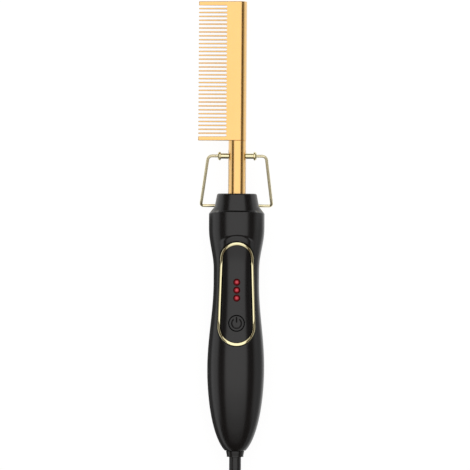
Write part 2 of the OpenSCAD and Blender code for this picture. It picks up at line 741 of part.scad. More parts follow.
// The leads pass the screws' bosses on both sides, lead_out from the axis.
lead_x = 1.3;
lead_out = boss_r + 2 * lead_r;
lead_run = 3;
heater_lead_z = axis_z - 1.2;
sensor_lead_x = 0.4;
sensor_land = 8;
sensor_end_y = board_y + board_len - sensor_land;
module heater_leads() color(wire_white) for (side = [-1, 1]) swept([
    [side * lead_x, heater_y, axis_z - lead_r], [side * lead_x, heater_y - lead_run, axis_z - lead_r],
    [side * lead_x, head_y, heater_lead_z], [side * lead_x, neck_y + over, heater_lead_z],
    [side * lead_out, screw_high_y + over, heater_lead_z], [side * lead_out, screw_high_y - lead_run, axis_z],
    [side * lead_x, terminal_high_y + lead_x, terminal_z], [side * lead_x, terminal_high_y, terminal_z]],
    lead_r, 6);
module sensor_leads() color(wire_white) for (side = [-1, 1]) swept([
    [side * sensor_lead_x, sensor_y, sensor_z], [side * sensor_lead_x, head_y, sensor_z],
    [side * sensor_lead_x, neck_y + over, sensor_z],
    [side * lead_out, screw_high_y + over, sensor_z + 2 * over],
    [side * lead_out, screw_high_y - lead_run, sensor_pad_z],
    [side * sensor_pad_x, sensor_end_y + sensor_land, sensor_pad_z + sensor_lead_r],
    [side * sensor_pad_x, sensor_end_y + lead_run, sensor_pad_z],
    [side * sensor_pad_x, sensor_end_y, sensor_pad_z]], sensor_lead_r, 6);
module supply_leads() color(wire_white) for (side = [-1, 1]) swept([
    [side * supply_x, socket_top_y - socket_end, axis_z], [side * supply_x, socket_top_y + over, axis_z],
    [side * lead_out, screw_low_y - lead_run, axis_z], [side * lead_out, screw_low_y + lead_run, axis_z],
    [side * lead_x, terminal_low_y - lead_run, terminal_z], [side * lead_x, terminal_low_y, terminal_z]],
    lead_r, 6);

module swivel_socket() color(soft_black) difference() {
    union() {
        rod(socket_neck_r, tail_y, socket_y + eps);
        rod(socket_r, socket_y, socket_top_y);
    }
    rod(spindle_r + spindle_gap, tail_y - over, chamber_y + eps);
    rod(chamber_r, chamber_y, socket_top_y - socket_end);
    rod(lead_hole_r, socket_top_y - socket_end - over, socket_top_y + over);
}

module swivel_brushes() color(brass) for (y = slip_y) for (side = [-1, 1]) intersection() {
    translate([side * (slip_r + brush_gap + brush.x / 2), y + slip_w / 2, axis_z]) cube(brush, center = true);
    rod(chamber_r, chamber_y, socket_top_y);
}

module swivel_spindle() color(steel) {
    rod(spindle_r, boot_y, spindle_top_y);
    rod(spindle_flange_r, flange_y, flange_y + spindle_flange_t);
}

module slip_rings() color(brass) for (y = slip_y) rod(slip_r, y, y + slip_w, spindle_r);

module swivel_collar() color(black) turned() polygon([[spindle_r, collar_y], [collar_top_r, collar_y],
    [collar_low_r, boot_y + lip_w * 2], [collar_low_r + lip_w / 2, boot_y + lip_w],
    [collar_low_r + lip_w / 2, boot_y], [spindle_r, boot_y]]);

module cord_boot() color(soft_black) turned() polygon([[0, boot_y], [boot_r, boot_y],
    [boot_r, boot_shoulder_y], [boot_tip_r, cord_exit_y], [0, cord_exit_y]]);

module cord_lead() color(soft_black) swept(lead_route, cord_r, 8);
module cord_tail() color(soft_black) swept(tail_route, cord_r, 8);
module cord_hank() color(soft_black) {
    swept([for (k = [-half_run:hank_end]) hank_point(k)], cord_r, 6);
    fine = [for (k = [-half_run:0.5:hank_end]) hank_point(k)];
    echo(least_gap_between_turns = least_gap(fine, loop_rings));
    echo(cord_length = length_of(lead_route) + length_of(fine) + length_of(tail_route));
}

module cord_tie() color(black) {
    drawn = waist(tie_w / hank_run);
    half = hank_wide - hank_waist * drawn + cord_r + tie_gap;
    floor_z = tie_t * drawn - tie_gap;
    top = tie_t + cord_d + (hank_layers - 1) * hank_layer + tie_gap;
    translate([0, hank_y + tie_w / 2, 0]) rotate([90, 0, 0]) linear_extrude(tie_w) difference() {
        translate([-half - tie_t, 0]) square([2 * (half + tie_t), top + tie_t]);
        translate([-half, floor_z]) square([2 * half, top - floor_z]);
    }
}

module stadium(w, h) {
    for (side = [-1, 1]) translate([side * (w - h) / 2, 0]) circle(h / 2);
    square([w - h, h], center = true);
}
module plug_body() color(soft_black) {
    side = [[plug_w / 2, plug_face_y], [plug_w / 2, plug_grip_y], [plug_waist_w / 2, plug_waist_y],
        [plug_neck_w / 2, plug_face_y + plug_len]];
    translate([0, 0, plug_z]) intersection() {
        translate([0, plug_y - plug_relief, 0]) rotate([90, 0, 0]) linear_extrude(plug_len)
            stadium(plug_w, plug_h);
        translate([0, 0, -plug_h]) linear_extrude(2 * plug_h)
            polygon(concat(side, [for (i = [3:-1:0]) [-side[i].x, side[i].y]]));
    }
    translate([0, plug_y, plug_z]) rotate([90, 0, 0])
        cylinder(r1 = cord_r + relief_wall, r2 = plug_h / 2 - relief_inset, h = plug_relief + over);
}

module plug_pins() color(steel) for (side = [-1, 1])
    translate([side * pin_pitch / 2, plug_face_y, plug_z]) rotate([90, 0, 0])
        cylinder(r = pin_r, h = pin_len);

comb_head();
heater_core();
heater_sleeve();
temperature_sensor();
neck_tube();
stand_bush(-1);  // stand_bush_left
stand_bush(1);  // stand_bush_right
stand_wire();
nose_bush();
nose_cap();
neck_clamp();
front_shell();
rear_shell();
shell_screws();
control_panel();
trim_ring();
power_button();
switch_plunger();
tact_switch();
lamp(1);  // lamp_1
lamp(2);  // lamp_2
lamp(3);  // lamp_3
circuit_board();
controller_chip();
triac();
capacitor();
fuse();
wire_terminals();
heater_leads();
sensor_leads();
supply_leads();
swivel_socket();
swivel_brushes();
swivel_spindle();
slip_rings();
swivel_collar();
cord_boot();
cord_lead();
cord_hank();
cord_tie();
cord_tail();
plug_body();
plug_pins();
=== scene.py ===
"""Looks of an electric hot comb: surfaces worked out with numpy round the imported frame, in metres."""
import json
import math

import bmesh
import bpy
import numpy as np
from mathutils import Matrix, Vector


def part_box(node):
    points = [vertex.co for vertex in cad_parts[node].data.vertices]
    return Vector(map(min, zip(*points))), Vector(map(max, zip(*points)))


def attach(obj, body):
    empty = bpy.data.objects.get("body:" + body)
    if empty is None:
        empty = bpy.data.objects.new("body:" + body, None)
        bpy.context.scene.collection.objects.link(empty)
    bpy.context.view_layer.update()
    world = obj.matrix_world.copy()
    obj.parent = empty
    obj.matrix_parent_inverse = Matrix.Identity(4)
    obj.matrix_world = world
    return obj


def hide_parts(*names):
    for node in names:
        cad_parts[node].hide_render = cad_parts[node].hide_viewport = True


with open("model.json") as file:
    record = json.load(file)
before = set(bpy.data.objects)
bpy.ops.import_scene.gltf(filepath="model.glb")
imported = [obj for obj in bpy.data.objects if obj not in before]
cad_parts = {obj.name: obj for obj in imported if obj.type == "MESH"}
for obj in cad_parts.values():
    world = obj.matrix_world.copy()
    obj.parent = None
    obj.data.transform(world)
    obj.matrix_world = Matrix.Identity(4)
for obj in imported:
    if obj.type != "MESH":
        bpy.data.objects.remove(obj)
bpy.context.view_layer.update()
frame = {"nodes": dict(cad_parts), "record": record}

MM = 0.001


def low(node):
    return np.array(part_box(node)[0])


def high(node):
    return np.array(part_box(node)[1])


# ---------------------------------------------------------------- sizes, from the frame where it has them
AXIS_Z = 17.5 * MM
SHOULDER_Y = high("front_shell")[1]
TAIL_Y = low("front_shell")[1]
HEAD_Y = low("comb_head")[1]
HEAD_END_Y = high("comb_head")[1]
NOSE_Y = high("nose_cap")[1]
PIVOT_Y = 134.7 * MM
CROSSBAR_Y = low("stand_wire")[1]

# ---------------------------------------------------------------- camera
PIXEL = 0.635 * MM
PHOTO_PIXELS = 470
VIEW_WIDTH = PHOTO_PIXELS * PIXEL
VIEW_CENTRE = (-1.05 * MM, 84.2 * MM)
LEAN = math.radians(0.4)
LENS, SENSOR = 300.0, 36.0
VIEW_DISTANCE = VIEW_WIDTH * LENS / SENSOR
VIEW_ASIDE = math.radians(1.2)

camera = bpy.data.objects.new("camera", bpy.data.cameras.new("camera"))
bpy.context.scene.collection.objects.link(camera)
bpy.context.scene.camera = camera
camera.data.lens, camera.data.sensor_width = LENS, SENSOR
camera.data.clip_start, camera.data.clip_end = 0.05, 50
camera.location = (VIEW_CENTRE[0] - VIEW_DISTANCE * math.sin(VIEW_ASIDE), VIEW_CENTRE[1],
                   AXIS_Z + VIEW_DISTANCE * math.cos(VIEW_ASIDE))
camera.rotation_euler = (0, -VIEW_ASIDE, LEAN)

# ---------------------------------------------------------------- mesh tools


class Skin:
    """A mesh put together from grids of points, which are welded where their edges meet."""

    def __init__(self):
        self.points, self.faces, self.count = [], [], 0

    def grid(self, points, wrap_rows=False, wrap_cols=False):
        """Quads of a rows x columns array of points, whose last row or column may join its first."""
        rows, cols = points.shape[:2]
        used_rows, used_cols = rows - (not wrap_rows), cols - (not wrap_cols)
        r, c = np.meshgrid(np.arange(used_rows), np.arange(used_cols), indexing="ij")
        r2, c2 = (r + 1) % rows, (c + 1) % cols
        quads = np.stack([r * cols + c, r * cols + c2, r2 * cols + c2, r2 * cols + c], -1).reshape(-1, 4)
        self.points.append(points.reshape(-1, 3))
        self.faces.append(quads + self.count)
        self.count += rows * cols
        return self

    def disc(self, ring):
        """A closed ring of points filled towards its middle."""
        middle = np.broadcast_to(ring.mean(0), ring.shape)
        return self.grid(np.stack([ring, middle]), wrap_cols=True)

    def piece(self, name, body, finish, *stands_for, crease=35, weld=0.004 * MM, slot=None):
        """The welded mesh as an object that rides on a body, smooth but for edges sharper than the crease."""
        points, faces = np.concatenate(self.points), np.concatenate(self.faces)
        mesh = bpy.data.meshes.new(name)
        mesh.from_pydata(points.astype(np.float64), [], faces.tolist())
        b = bmesh.new()
        b.from_mesh(mesh)
        bmesh.ops.remove_doubles(b, verts=b.verts, dist=weld)
        bmesh.ops.recalc_face_normals(b, faces=b.faces)
        b.to_mesh(mesh)
        b.free()
        mesh.shade_smooth()
        mesh.set_sharp_from_angle(angle=math.radians(crease))
        mesh.materials.append(finish)
        obj = bpy.data.objects.new(name, mesh)
        bpy.context.scene.collection.objects.link(obj)
        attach(obj, body)
        if stands_for:
            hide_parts(*stands_for)
        return obj


def ease(t):
    """0 to 1 along half a cosine wave, and flat beyond."""
    return (1 - np.cos(np.pi * np.clip(t, 0, 1))) / 2


def lerp(a, b, t):
    return a + (b - a) * t


STRAIGHT = 1e-3


def rounded(corners, steps=5):
    """A flat outline through corners (x, y, radius) in millimetres, each an arc tangent to both its sides.
    A point of the arc is start + r sin(a) d + r (1 - cos(a)) n, with d the way in and n square to it. A
    corner that turns by less than STRAIGHT radians stays a point. The result is in metres."""
    p, out = np.array([c[:2] for c in corners], float), [np.array(corners[0][:2], float)[None]]
    for i in range(1, len(p) - 1):
        d0, d1 = p[i] - p[i - 1], p[i + 1] - p[i]
        d0, d1 = d0 / np.linalg.norm(d0), d1 / np.linalg.norm(d1)
        turn = math.acos(np.clip(d0 @ d1, -1, 1))
        r = corners[i][2]
        if r == 0 or turn < STRAIGHT:
            out.append(p[i][None])
            continue
        n = (d1 - d0 * math.cos(turn)) / math.sin(turn)
        a = np.linspace(0, turn, steps + 1)[:, None]
        out.append(p[i] - d0 * r * math.tan(turn / 2) + r * (np.sin(a) * d0 + (1 - np.cos(a)) * n))
    out.append(p[-1][None])
    return np.concatenate(out) * MM


def lathe(profile, turns=96):
    """Points (radius, place) turned round the grip's axis: x = r sin a, z = axis + r cos a."""
    a = np.arange(turns) * 2 * np.pi / turns
    r, y = profile[:, :1], profile[:, 1:]
    return np.stack([r * np.sin(a), y + 0 * a, AXIS_Z + r * np.cos(a)], -1)


def tube(path, radius, sides=12):
    """A ring of the given radius round each point of a path, square to the path's run there."""
    run = np.gradient(path, axis=0)
    run /= np.linalg.norm(run, axis=1, keepdims=True)
    side = np.cross(run, (0, 0, 1.0))
    side /= np.linalg.norm(side, axis=1, keepdims=True)
    up = np.cross(side, run)
    a = np.arange(sides)[:, None] * 2 * np.pi / sides
    radius = np.broadcast_to(radius, len(path))[:, None, None]
    return path[:, None] + radius * (np.cos(a) * side[:, None] + np.sin(a) * up[:, None])


def capped(rings):
    """A closed skin of rings of points, with both ends filled."""
    return Skin().grid(rings, wrap_cols=True).disc(rings[0]).disc(rings[-1])


def smooth_path(points, per=6):
    """A curve through the points, a cubic between each two whose end slopes come from their neighbours."""
    p = np.concatenate([2 * points[:1] - points[1:2], points, 2 * points[-1:] - points[-2:-1]])
    t = np.linspace(0, 1, per, endpoint=False)[:, None, None]
    a, b, c, d = p[:-3], p[1:-2], p[2:-1], p[3:]
    cubic = 0.5 * (2 * b + (c - a) * t + (2 * a - 5 * b + 4 * c - d) * t**2 + (3 * b - a - 3 * c + d) * t**3)
    return np.concatenate([cubic.transpose(1, 0, 2).reshape(-1, 3), points[-1:]])


# ---------------------------------------------------------------- cord
CORD_D = 5 * MM
LEAD_ROUTE = [(0, -86, 17.5), (0, -91, 17.5), (-0.6, -95.8, 17.4), (-2.2, -100.3, 17.3), (-4.8, -104.3, 17.2),
              (-8.3, -107.6, 17.2), (-12.5, -110, 17.3), (-16.7, -112.4, 17.5), (-20.2, -115.7, 17.8),
              (-22.8, -119.7, 18.2), (-24.4, -124.2, 18.7), (-25, -129, 19), (-25, -134, 19)]
TAIL_ROUTE = [(-25, -209, 2.5), (-25, -214, 2.5), (-24.4, -218.8, 2.5), (-22.8, -223.3, 2.5),
              (-20.2, -227.3, 2.5), (-16.7, -230.6, 2.5), (-12.5, -233, 2.7), (-8.3, -235.4, 3),
              (-4.8, -238.7, 3.7), (-2.2, -242.7, 4.9), (-0.6, -247.2, 6.2), (0, -252, 6.85), (0, -257, 6.85)]
HANK_WIDE, HANK_STEP, HANK_LAYER, HANK_TURNS, HANK_LAYERS = 24.25, 6, 5.5, 1.5, 4
HANK_MIDDLE, HANK_RUN, HANK_WAIST, TIE_T = -171.5, 75, 5, 0.8
# Shares of a turn: half of a straight run, the half circle at an end, and the stretch in which a layer drops.
HALF_RUN, CURVE, DROP = 0.125, 0.25, 0.25


def hank_path(per_turn=72):
    """The hank's line in millimetres. After u turns its track is HANK_WIDE less HANK_STEP a turn, then out
    again; it drops a layer along a run each time the track turns back. A turn is a left run, a half circle
    at the far end, a right run and a half circle at the near end. Both runs are drawn in at the waist."""
    loops = HANK_LAYERS * HANK_TURNS
    u = np.arange(-HALF_RUN, loops + HALF_RUN + 1e-9, 1 / per_turn)
    v = u % (2 * HANK_TURNS)
    turned_in = np.where(u < 0, u, np.where(u > loops, loops - u, np.minimum(v, 2 * HANK_TURNS - v)))
    w = HANK_WIDE - HANK_STEP * turned_in
    drops = sum(ease((u - HANK_TURNS * i) / DROP + 0.5) for i in range(1, HANK_LAYERS))
    z = CORD_D / MM / 2 + HANK_LAYER * (HANK_LAYERS - 1 - drops)
    m = (u + HALF_RUN) % 1 - HALF_RUN
    left, far, right = m < HALF_RUN, m < HALF_RUN + CURVE, m < 3 * HALF_RUN + CURVE
    along = np.where(left, m, m - 0.5) / HALF_RUN
    drawn = (1 + np.cos(np.pi * np.clip(along, -1, 1))) / 2
    a = np.pi * np.where(far, m - HALF_RUN, m - 3 * HALF_RUN - CURVE) / CURVE
    waist, end = HANK_WAIST * drawn, HANK_RUN / 2
    x = np.select([left, far, right], [waist - w, -w * np.cos(a), w - waist], w * np.cos(a))
    y = np.select([left, far, right], [-end * along, -end - w * np.sin(a), end * along], end + w * np.sin(a))
    z = z + np.where(left | (right & ~far), TIE_T * drawn, 0)
    return np.stack([x, HANK_MIDDLE + y, z], -1)


cord_path = np.concatenate([smooth_path(np.array(LEAD_ROUTE, float))[:-1], hank_path(),
                            smooth_path(np.array(TAIL_ROUTE, float))[1:]]) * MM


# ---------------------------------------------------------------- materials


class Ink:
    """A value in a material's node tree. Operators between values and numbers make Math nodes, and node()
    makes any other node."""

    def __init__(self, tree, socket=None):
        self.tree, self.socket = tree, socket

    def put(self, socket, value):
        if isinstance(value, Ink):
            self.tree.links.new(value.socket, socket)
        else:
            socket.default_value = value

    def node(self, kind, output, inputs, **settings):
        """A node of the kind: its settings first, then its inputs by name or number. Returns the named
        output, or the node itself where none is named."""
        made = self.tree.nodes.new("ShaderNode" + kind)
        for key, value in settings.items():
            setattr(made, key, value)
        for key, value in inputs.items():
            self.put(made.inputs[key], value)
        return Ink(self.tree, made.outputs[output]) if output is not None else made

    def math(self, operation, *values):
        return self.node("Math", 0, dict(enumerate(values)), operation=operation)

    def scaled(self, *factors):
        """A vector times another, part by part."""
        return self.node("VectorMath", 0, {0: self, 1: factors}, operation="MULTIPLY")

    def mix(self, factor, a, b):
        """From colour a to colour b."""
        return self.node("Mix", 2, {0: factor, 6: a, 7: b}, data_type="RGBA")

    def noise(self, at, scale, detail=2.0):
        return self.node("TexNoise", 0, {"Vector": at, "Scale": scale, "Detail": detail})

    def part(self, index):
        return self.node("SeparateXYZ", index, {0: self})

    def slope(self, low, high, value, from_value, to_value):
        """Smooth step of a value between two limits, from one result to another."""
        limits = {"Value": value, "From Min": low, "From Max": high, "To Min": from_value, "To Max": to_value}
        return self.node("MapRange", 0, limits, interpolation_type="SMOOTHSTEP")

    def bump(self, height, depth):
        """Normal for a height of 0 to 1 over a depth in millimetres."""
        return self.node("Bump", 0, {"Height": height, "Distance": depth * MM})

    def __add__(self, other):
        return self.math("ADD", self, other)

    def __sub__(self, other):
        return self.math("SUBTRACT", self, other)

    def __rsub__(self, other):
        return self.math("SUBTRACT", other, self)

    def __mul__(self, other):
        return self.math("MULTIPLY", self, other)

    def __truediv__(self, other):
        return self.math("DIVIDE", self, other)

    __radd__, __rmul__ = __add__, __mul__


def rgb(r, g, b):
    return (r, g, b, 1.0)


def finish(name, surface):
    """A Principled material whose inputs are surface(s, p): s makes nodes, p is the place in millimetres."""
    material = bpy.data.materials.new(name)
    material.use_nodes = True
    tree = material.node_tree
    tree.nodes.clear()
    s = Ink(tree)
    p = s.node("TexCoord", "Object", {}).scaled(1 / MM, 1 / MM, 1 / MM)
    inputs = surface(s, p)
    out = s.node("OutputMaterial", None, {})
    s.put(out.inputs["Surface"], s.node("BsdfPrincipled", "BSDF", inputs))
    return material


FINE_DETAIL, LACQUER_IOR = 3.0, 1.8


def metal(light, dark, rough, run=(1, 1, 1), scratch=0.002, spread=0.06, lacquer=0.0):
    """A metal between two tones, with fine brushing drawn out along the axis whose run is small."""
    def surface(s, p):
        fine = s.noise(p.scaled(*run), 6.0, FINE_DETAIL)
        cloud = s.noise(p, 0.08)
        return {"Base Color": s.mix(cloud, rgb(*dark), rgb(*light)), "Metallic": 1.0,
                "Roughness": rough + (fine - 0.5) * spread + (cloud - 0.5) * 0.04,
                "Normal": s.bump(fine, scratch), "Coat Weight": lacquer, "Coat IOR": LACQUER_IOR}
    return surface


def moulded(tone, rough, grain=5.0, depth=0.004, lift=1.25, shine=0.5):
    """A moulded plastic with a fine grain, a shade lighter and rougher in slow clouds."""
    def surface(s, p):
        fine = s.noise(p, grain, FINE_DETAIL)
        cloud = s.noise(p, 0.05)
        return {"Base Color": s.mix(cloud, rgb(*tone), rgb(*[c * lift for c in tone])),
                "Roughness": rough + (cloud - 0.5) * 0.06 + (fine - 0.5) * 0.08,
                "Normal": s.bump(fine, depth), "Specular IOR Level": shine}
    return surface


GOLD = dict(light=(0.98, 0.6, 0.18), dark=(0.93, 0.545, 0.145), run=(1, 0.04, 1), lacquer=1.0)
gold_head = finish("gold_head", metal(rough=0.23, scratch=0.0006, **GOLD))
gilt_steel = finish("gilt_steel", metal(rough=0.22, scratch=0.0004, **GOLD))
pale_gilt = finish("pale_gilt", metal((0.93, 0.88, 0.58), (0.85, 0.79, 0.48), 0.14, scratch=0.001))
gilt_trim = finish("gilt_trim", metal((1, 0.93, 0.6), (0.95, 0.87, 0.5), 0.07, scratch=0.0003, spread=0.02))
satin_black = finish("satin_black", moulded((0.0075, 0.0075, 0.008), 0.22))
panel_black = finish("panel_black", moulded((0.0075, 0.0075, 0.0083), 0.2, grain=3.0, depth=0.002))
cord_black = finish("cord_black", moulded((0.009, 0.009, 0.0095), 0.3, grain=2.0, depth=0.008))
plug_black = finish("plug_black", moulded((0.01, 0.01, 0.0105), 0.38, grain=4.0, depth=0.008))
ceramic = finish("ceramic", moulded((0.72, 0.68, 0.58), 0.45, grain=3.0, depth=0.01, lift=1.1))
steel = finish("steel", metal((0.62, 0.63, 0.65), (0.5, 0.51, 0.53), 0.25, run=(1, 0.1, 1)))
brass = finish("brass", metal((0.85, 0.62, 0.25), (0.72, 0.5, 0.18), 0.25, run=(0.1, 1, 1)))
component = finish("component", moulded((0.03, 0.028, 0.026), 0.4, lift=1.4))
lead_white = finish("lead_white", moulded((0.7, 0.69, 0.65), 0.4, lift=1.08))


def wire_surface(s, p):
    """Pale gilt wire of one colour. Its legs are part non-metal and rougher so that they render lighter, a
    painted lightening that stands in for light they catch; the crossbar, which lies on the table, stays fully
    metal and smoother.
    """
    fine = s.noise(p, 6.0, FINE_DETAIL)
    lightened_leg = s.slope(CROSSBAR_Y / MM + 2, CROSSBAR_Y / MM + 6, p.part(1), 0.0, 1.0)
    # The legs' lower metallic is painted lightening: it renders them lighter in place of light they catch.
    return {"Base Color": s.mix(fine, rgb(0.95, 0.86, 0.55), rgb(1, 0.93, 0.64)), "Metallic": 1 - lightened_leg * 0.45,
            "Roughness": 0.14 + lightened_leg * 0.2 + (fine - 0.5) * 0.06, "Normal": s.bump(fine, 0.001)}


def lamp_surface(s, p):
    """Red lens: brighter towards its middle, where the light inside shows."""
    fine = s.noise(p, 2.0)
    face = s.node("NewGeometry", "Normal", {}).part(2)
    glow = s.math("POWER", s.math("MAXIMUM", face, 0.0), 5.0)
    return {"Base Color": s.mix(fine, rgb(0.3, 0.01, 0.018), rgb(0.4, 0.02, 0.03)),
            "Roughness": 0.18 + fine * 0.1, "Emission Strength": 0.32,
            "Emission Color": s.mix(glow, rgb(0.03, 0.0, 0.0), rgb(1.0, 0.09, 0.14))}


def board_surface(s, p):
    """Green solder mask over thin copper tracks that run along the board."""
    wobble = s.noise(p.scaled(1, 0.1, 1), 0.4, 1.0)
    tracks = s.math("PINGPONG", p.part(0) + wobble * 3, 0.9) / 0.9
    track = s.math("GREATER_THAN", tracks, 0.72)
    return {"Base Color": s.mix(track, rgb(0.008, 0.09, 0.04), rgb(0.02, 0.17, 0.07)),
            "Roughness": 0.3 + wobble * 0.15, "Normal": s.bump(track, 0.03)}


def tie_surface(s, p):
    """Woven strap: a small basket weave of raised threads."""
    across = s.math("SINE", p.part(0) * 9 + p.part(2) * 9)
    along = s.math("SINE", p.part(1) * 9)
    weave = across * along * 0.5 + 0.5
    return {"Base Color": s.mix(weave, rgb(0.006, 0.006, 0.007), rgb(0.02, 0.02, 0.022)),
            "Roughness": 0.8 - weave * 0.15, "Normal": s.bump(weave, 0.05)}


pale_wire = finish("pale_wire", wire_surface)
lamp_red = finish("lamp_red", lamp_surface)
# Dark red of the lamp dishes: a painted red glow of the lamps on the black dish plastic.
dish_painted_lamp_glow = finish("dish_painted_lamp_glow", moulded((0.08, 0.002, 0.003), 0.5, grain=4.0, shine=0.08))
board = finish("board", board_surface)
tie_strap = finish("tie_strap", tie_surface)

FINISHES = {"gold_head": gold_head, "gilt_steel": gilt_steel, "gilt_trim": gilt_trim,
            "satin_black": satin_black, "panel_black": panel_black, "lamp_red": lamp_red, "ceramic": ceramic,
            "steel": steel, "brass": brass, "board": board, "component": component, "lead_white": lead_white,
            "cord_black": cord_black, "plug_black": plug_black}
for entry in frame["record"]["subparts"]:
    made_of = frame["nodes"][entry["node"]].data.materials
    made_of.clear()
    made_of.append(pale_wire if entry["node"] == "stand_wire" else FINISHES[entry["material_slot"]])

# ---------------------------------------------------------------- grip
# The grip's own radii and places, and the tail's length, in millimetres.
BARREL, BARREL_LOW, WAIST, WAIST_LOW, WAIST_HIGH, BELLY = 17.65, 88.9, 14.45, 54.6, 62.5, 18.1
TAIL_LEN, TAIL_BLUNT = 55.3, 0.45
FLAT = 0.965
RING_TOP_Y, RING_TOP_R, RING_LOW_Y, RING_LOW_R = 69.5 * MM, 10.7 * MM, 26.4 * MM, 12.1 * MM
RING_W, RING_RUN = 1.9 * MM, RING_TOP_Y - RING_LOW_Y
RING_TURN = math.asin((RING_LOW_R - RING_TOP_R) / RING_RUN)
BEZEL_H, BEZEL_STEP = 0.95 * MM, 1.3 * MM
BEZEL_FOOT_LOW, BEZEL_FOOT_TOP = 2.2 * MM, 3.45 * MM
BEZEL_FRONT, BEZEL_FADE, BEZEL_START = 0.76, 0.16, 0.3
SEAM_DEPTH, SEAM_W = 0.18 * MM, 0.3 * MM
RING_BAND = ((-1, -1.1, 0), (-1, 0.5, 0.25), (1, 0.5, 0.35), (1, -1.1, 0))
RING_SIDE_W, RING_MIDDLE, RING_MIDDLE_SIDE = 1.4 * MM, -1.15 * MM, -0.9 * MM
RING_TILT, CORNER_TILT, RING_LEAN = math.radians(14), math.radians(31), 1.2 * MM
RING_SINK, SIDE_FALL = 0.3 * MM, 0.6
# Where the ring's corners start and end, in millimetres past the middles of its end circles, and how fast.
CORNER_START, CORNER_IN, CORNER_END, CORNER_OUT = -4, 2, 4.8, 1.6
WALL, TAIL_WALL = 2 * MM, 0.8 * MM
ACROSS, SIDE, HOLE_SIDE = 48, 36, 12
FLARE_Y, FLARE_R, NOSE_R = 102.6 * MM, 14.1 * MM, 12.5 * MM
SHORT_FROM, SHORT_TO, SHOULDER_RISE, FLARE_TOP_FRONT = 0.2, 0.8, 0.9 * MM, 99.9 * MM
SCREW_PLACES = (84.8 * MM, -16 * MM)
SCREW_HOLE_R, SCREW_FLOOR, SCREW_BLOCK = 2.6 * MM, 3.5 * MM, 6 * MM
# An opening's softened edge: how much wider each step is and how far below the skin, in millimetres.
SOFT_EDGE = ((0.3, 0), (0.15, 0.04), (0.05, 0.13), (0, 0.28))
RING_GAP, RING_SEAT = 0.15 * MM, 1.3 * MM
EGG_BLOCK_LOW, SHOULDER_BLOCK_Y = 4 * MM, SHOULDER_Y - 2 * MM


def grip_radius(y):
    """Radius at place y: barrel, waist and belly joined by half cosine waves, then a tail of
    r = BELLY (1 - (y / TAIL_LEN)^2)^TAIL_BLUNT."""
    t = y / MM
    r = BELLY + (WAIST - BELLY) * ease(t / WAIST_LOW)
    r = r + (BARREL - WAIST) * ease((t - WAIST_HIGH) / (BARREL_LOW - WAIST_HIGH))
    return r * (1 - (np.minimum(t, 0) / TAIL_LEN) ** 2) ** TAIL_BLUNT * MM


def on_grip(turn, y, up):
    """Point of the skin: x = r sin(turn), z = axis + r cos(turn), with r up above the grip's radius. The
    front half is a little flattened, and the back is cut off level where it would pass the table."""
    r, c = grip_radius(y) + up, np.cos(turn)
    z = np.maximum(AXIS_Z + r * c * np.where(c > 0, FLAT, 1), 0)
    return np.stack(np.broadcast_arrays(r * np.sin(turn), y, z), -1)


def on_front(x, y, up=0.0):
    """Point of the skin over x and y, up above it: z = axis + FLAT sqrt((R + up)^2 - x^2)."""
    rise = np.sqrt(np.maximum((grip_radius(y) + up) ** 2 - x**2, 0))
    return np.stack(np.broadcast_arrays(x, y, AXIS_Z + FLAT * rise), -1)


def egg(grow):
    """Outline of the trim ring, grown: up the right side, over the top, down the left side and under. A point
    is centre + r (cos a, sin a), where a, r and the centre run between those of the two end circles."""
    legs = [(RING_TURN, RING_TURN, 0, 1, SIDE), (RING_TURN, np.pi - RING_TURN, 1, 1, ACROSS),
            (np.pi - RING_TURN, np.pi - RING_TURN, 1, 0, SIDE),
            (np.pi - RING_TURN, 2 * np.pi + RING_TURN, 0, 0, ACROSS)]
    a = np.concatenate([lerp(a0, a1, np.arange(n) / n) for a0, a1, f0, f1, n in legs])
    f = np.concatenate([lerp(f0, f1, np.arange(n) / n) for a0, a1, f0, f1, n in legs])
    r = lerp(RING_LOW_R, RING_TOP_R, f) + grow
    return r * np.cos(a), lerp(RING_LOW_Y, RING_TOP_Y, f) + r * np.sin(a)


def egg_distance(x, y):
    """Distance outside the ring's outline: to the nearer end circle, or to the tangent between them."""
    low, top = np.hypot(x, y - RING_LOW_Y) - RING_LOW_R, np.hypot(x, y - RING_TOP_Y) - RING_TOP_R
    along = (y - RING_LOW_Y) * math.cos(RING_TURN) - np.abs(x) * math.sin(RING_TURN)
    side = np.abs(x) * math.cos(RING_TURN) + (y - RING_LOW_Y) * math.sin(RING_TURN) - RING_LOW_R
    return np.where(along < 0, low, np.where(along > RING_RUN * math.cos(RING_TURN), top, side))


def egg_half_width(y, grow):
    """Half width of the grown outline at place y."""
    low, top = RING_LOW_R + grow, RING_TOP_R + grow
    side = (low - (y - RING_LOW_Y) * math.sin(RING_TURN)) / math.cos(RING_TURN)
    in_low = np.sqrt(np.maximum(low**2 - (y - RING_LOW_Y) ** 2, 0))
    in_top = np.sqrt(np.maximum(top**2 - (y - RING_TOP_Y) ** 2, 0))
    return np.where(y < RING_LOW_Y + low * math.sin(RING_TURN), in_low,
                    np.where(y > RING_TOP_Y + top * math.sin(RING_TURN), in_top, side))


def hole(y, r, across, side):
    """Outline of a round hole on the middle line: four legs, each facing a side of the block round it."""
    quarter = np.pi / 2
    counts = ((-0.5, side), (0.5, across), (1.5, side), (2.5, across))
    a = np.concatenate([(start + np.arange(n) / n) * quarter for start, n in counts])
    return r * np.cos(a), y + r * np.sin(a)


def evenly(u):
    return u


def to_edges(u):
    """-1 to 1 with more columns near both ends."""
    return 0.2 * u + 0.8 * np.sin(np.pi / 2 * u)


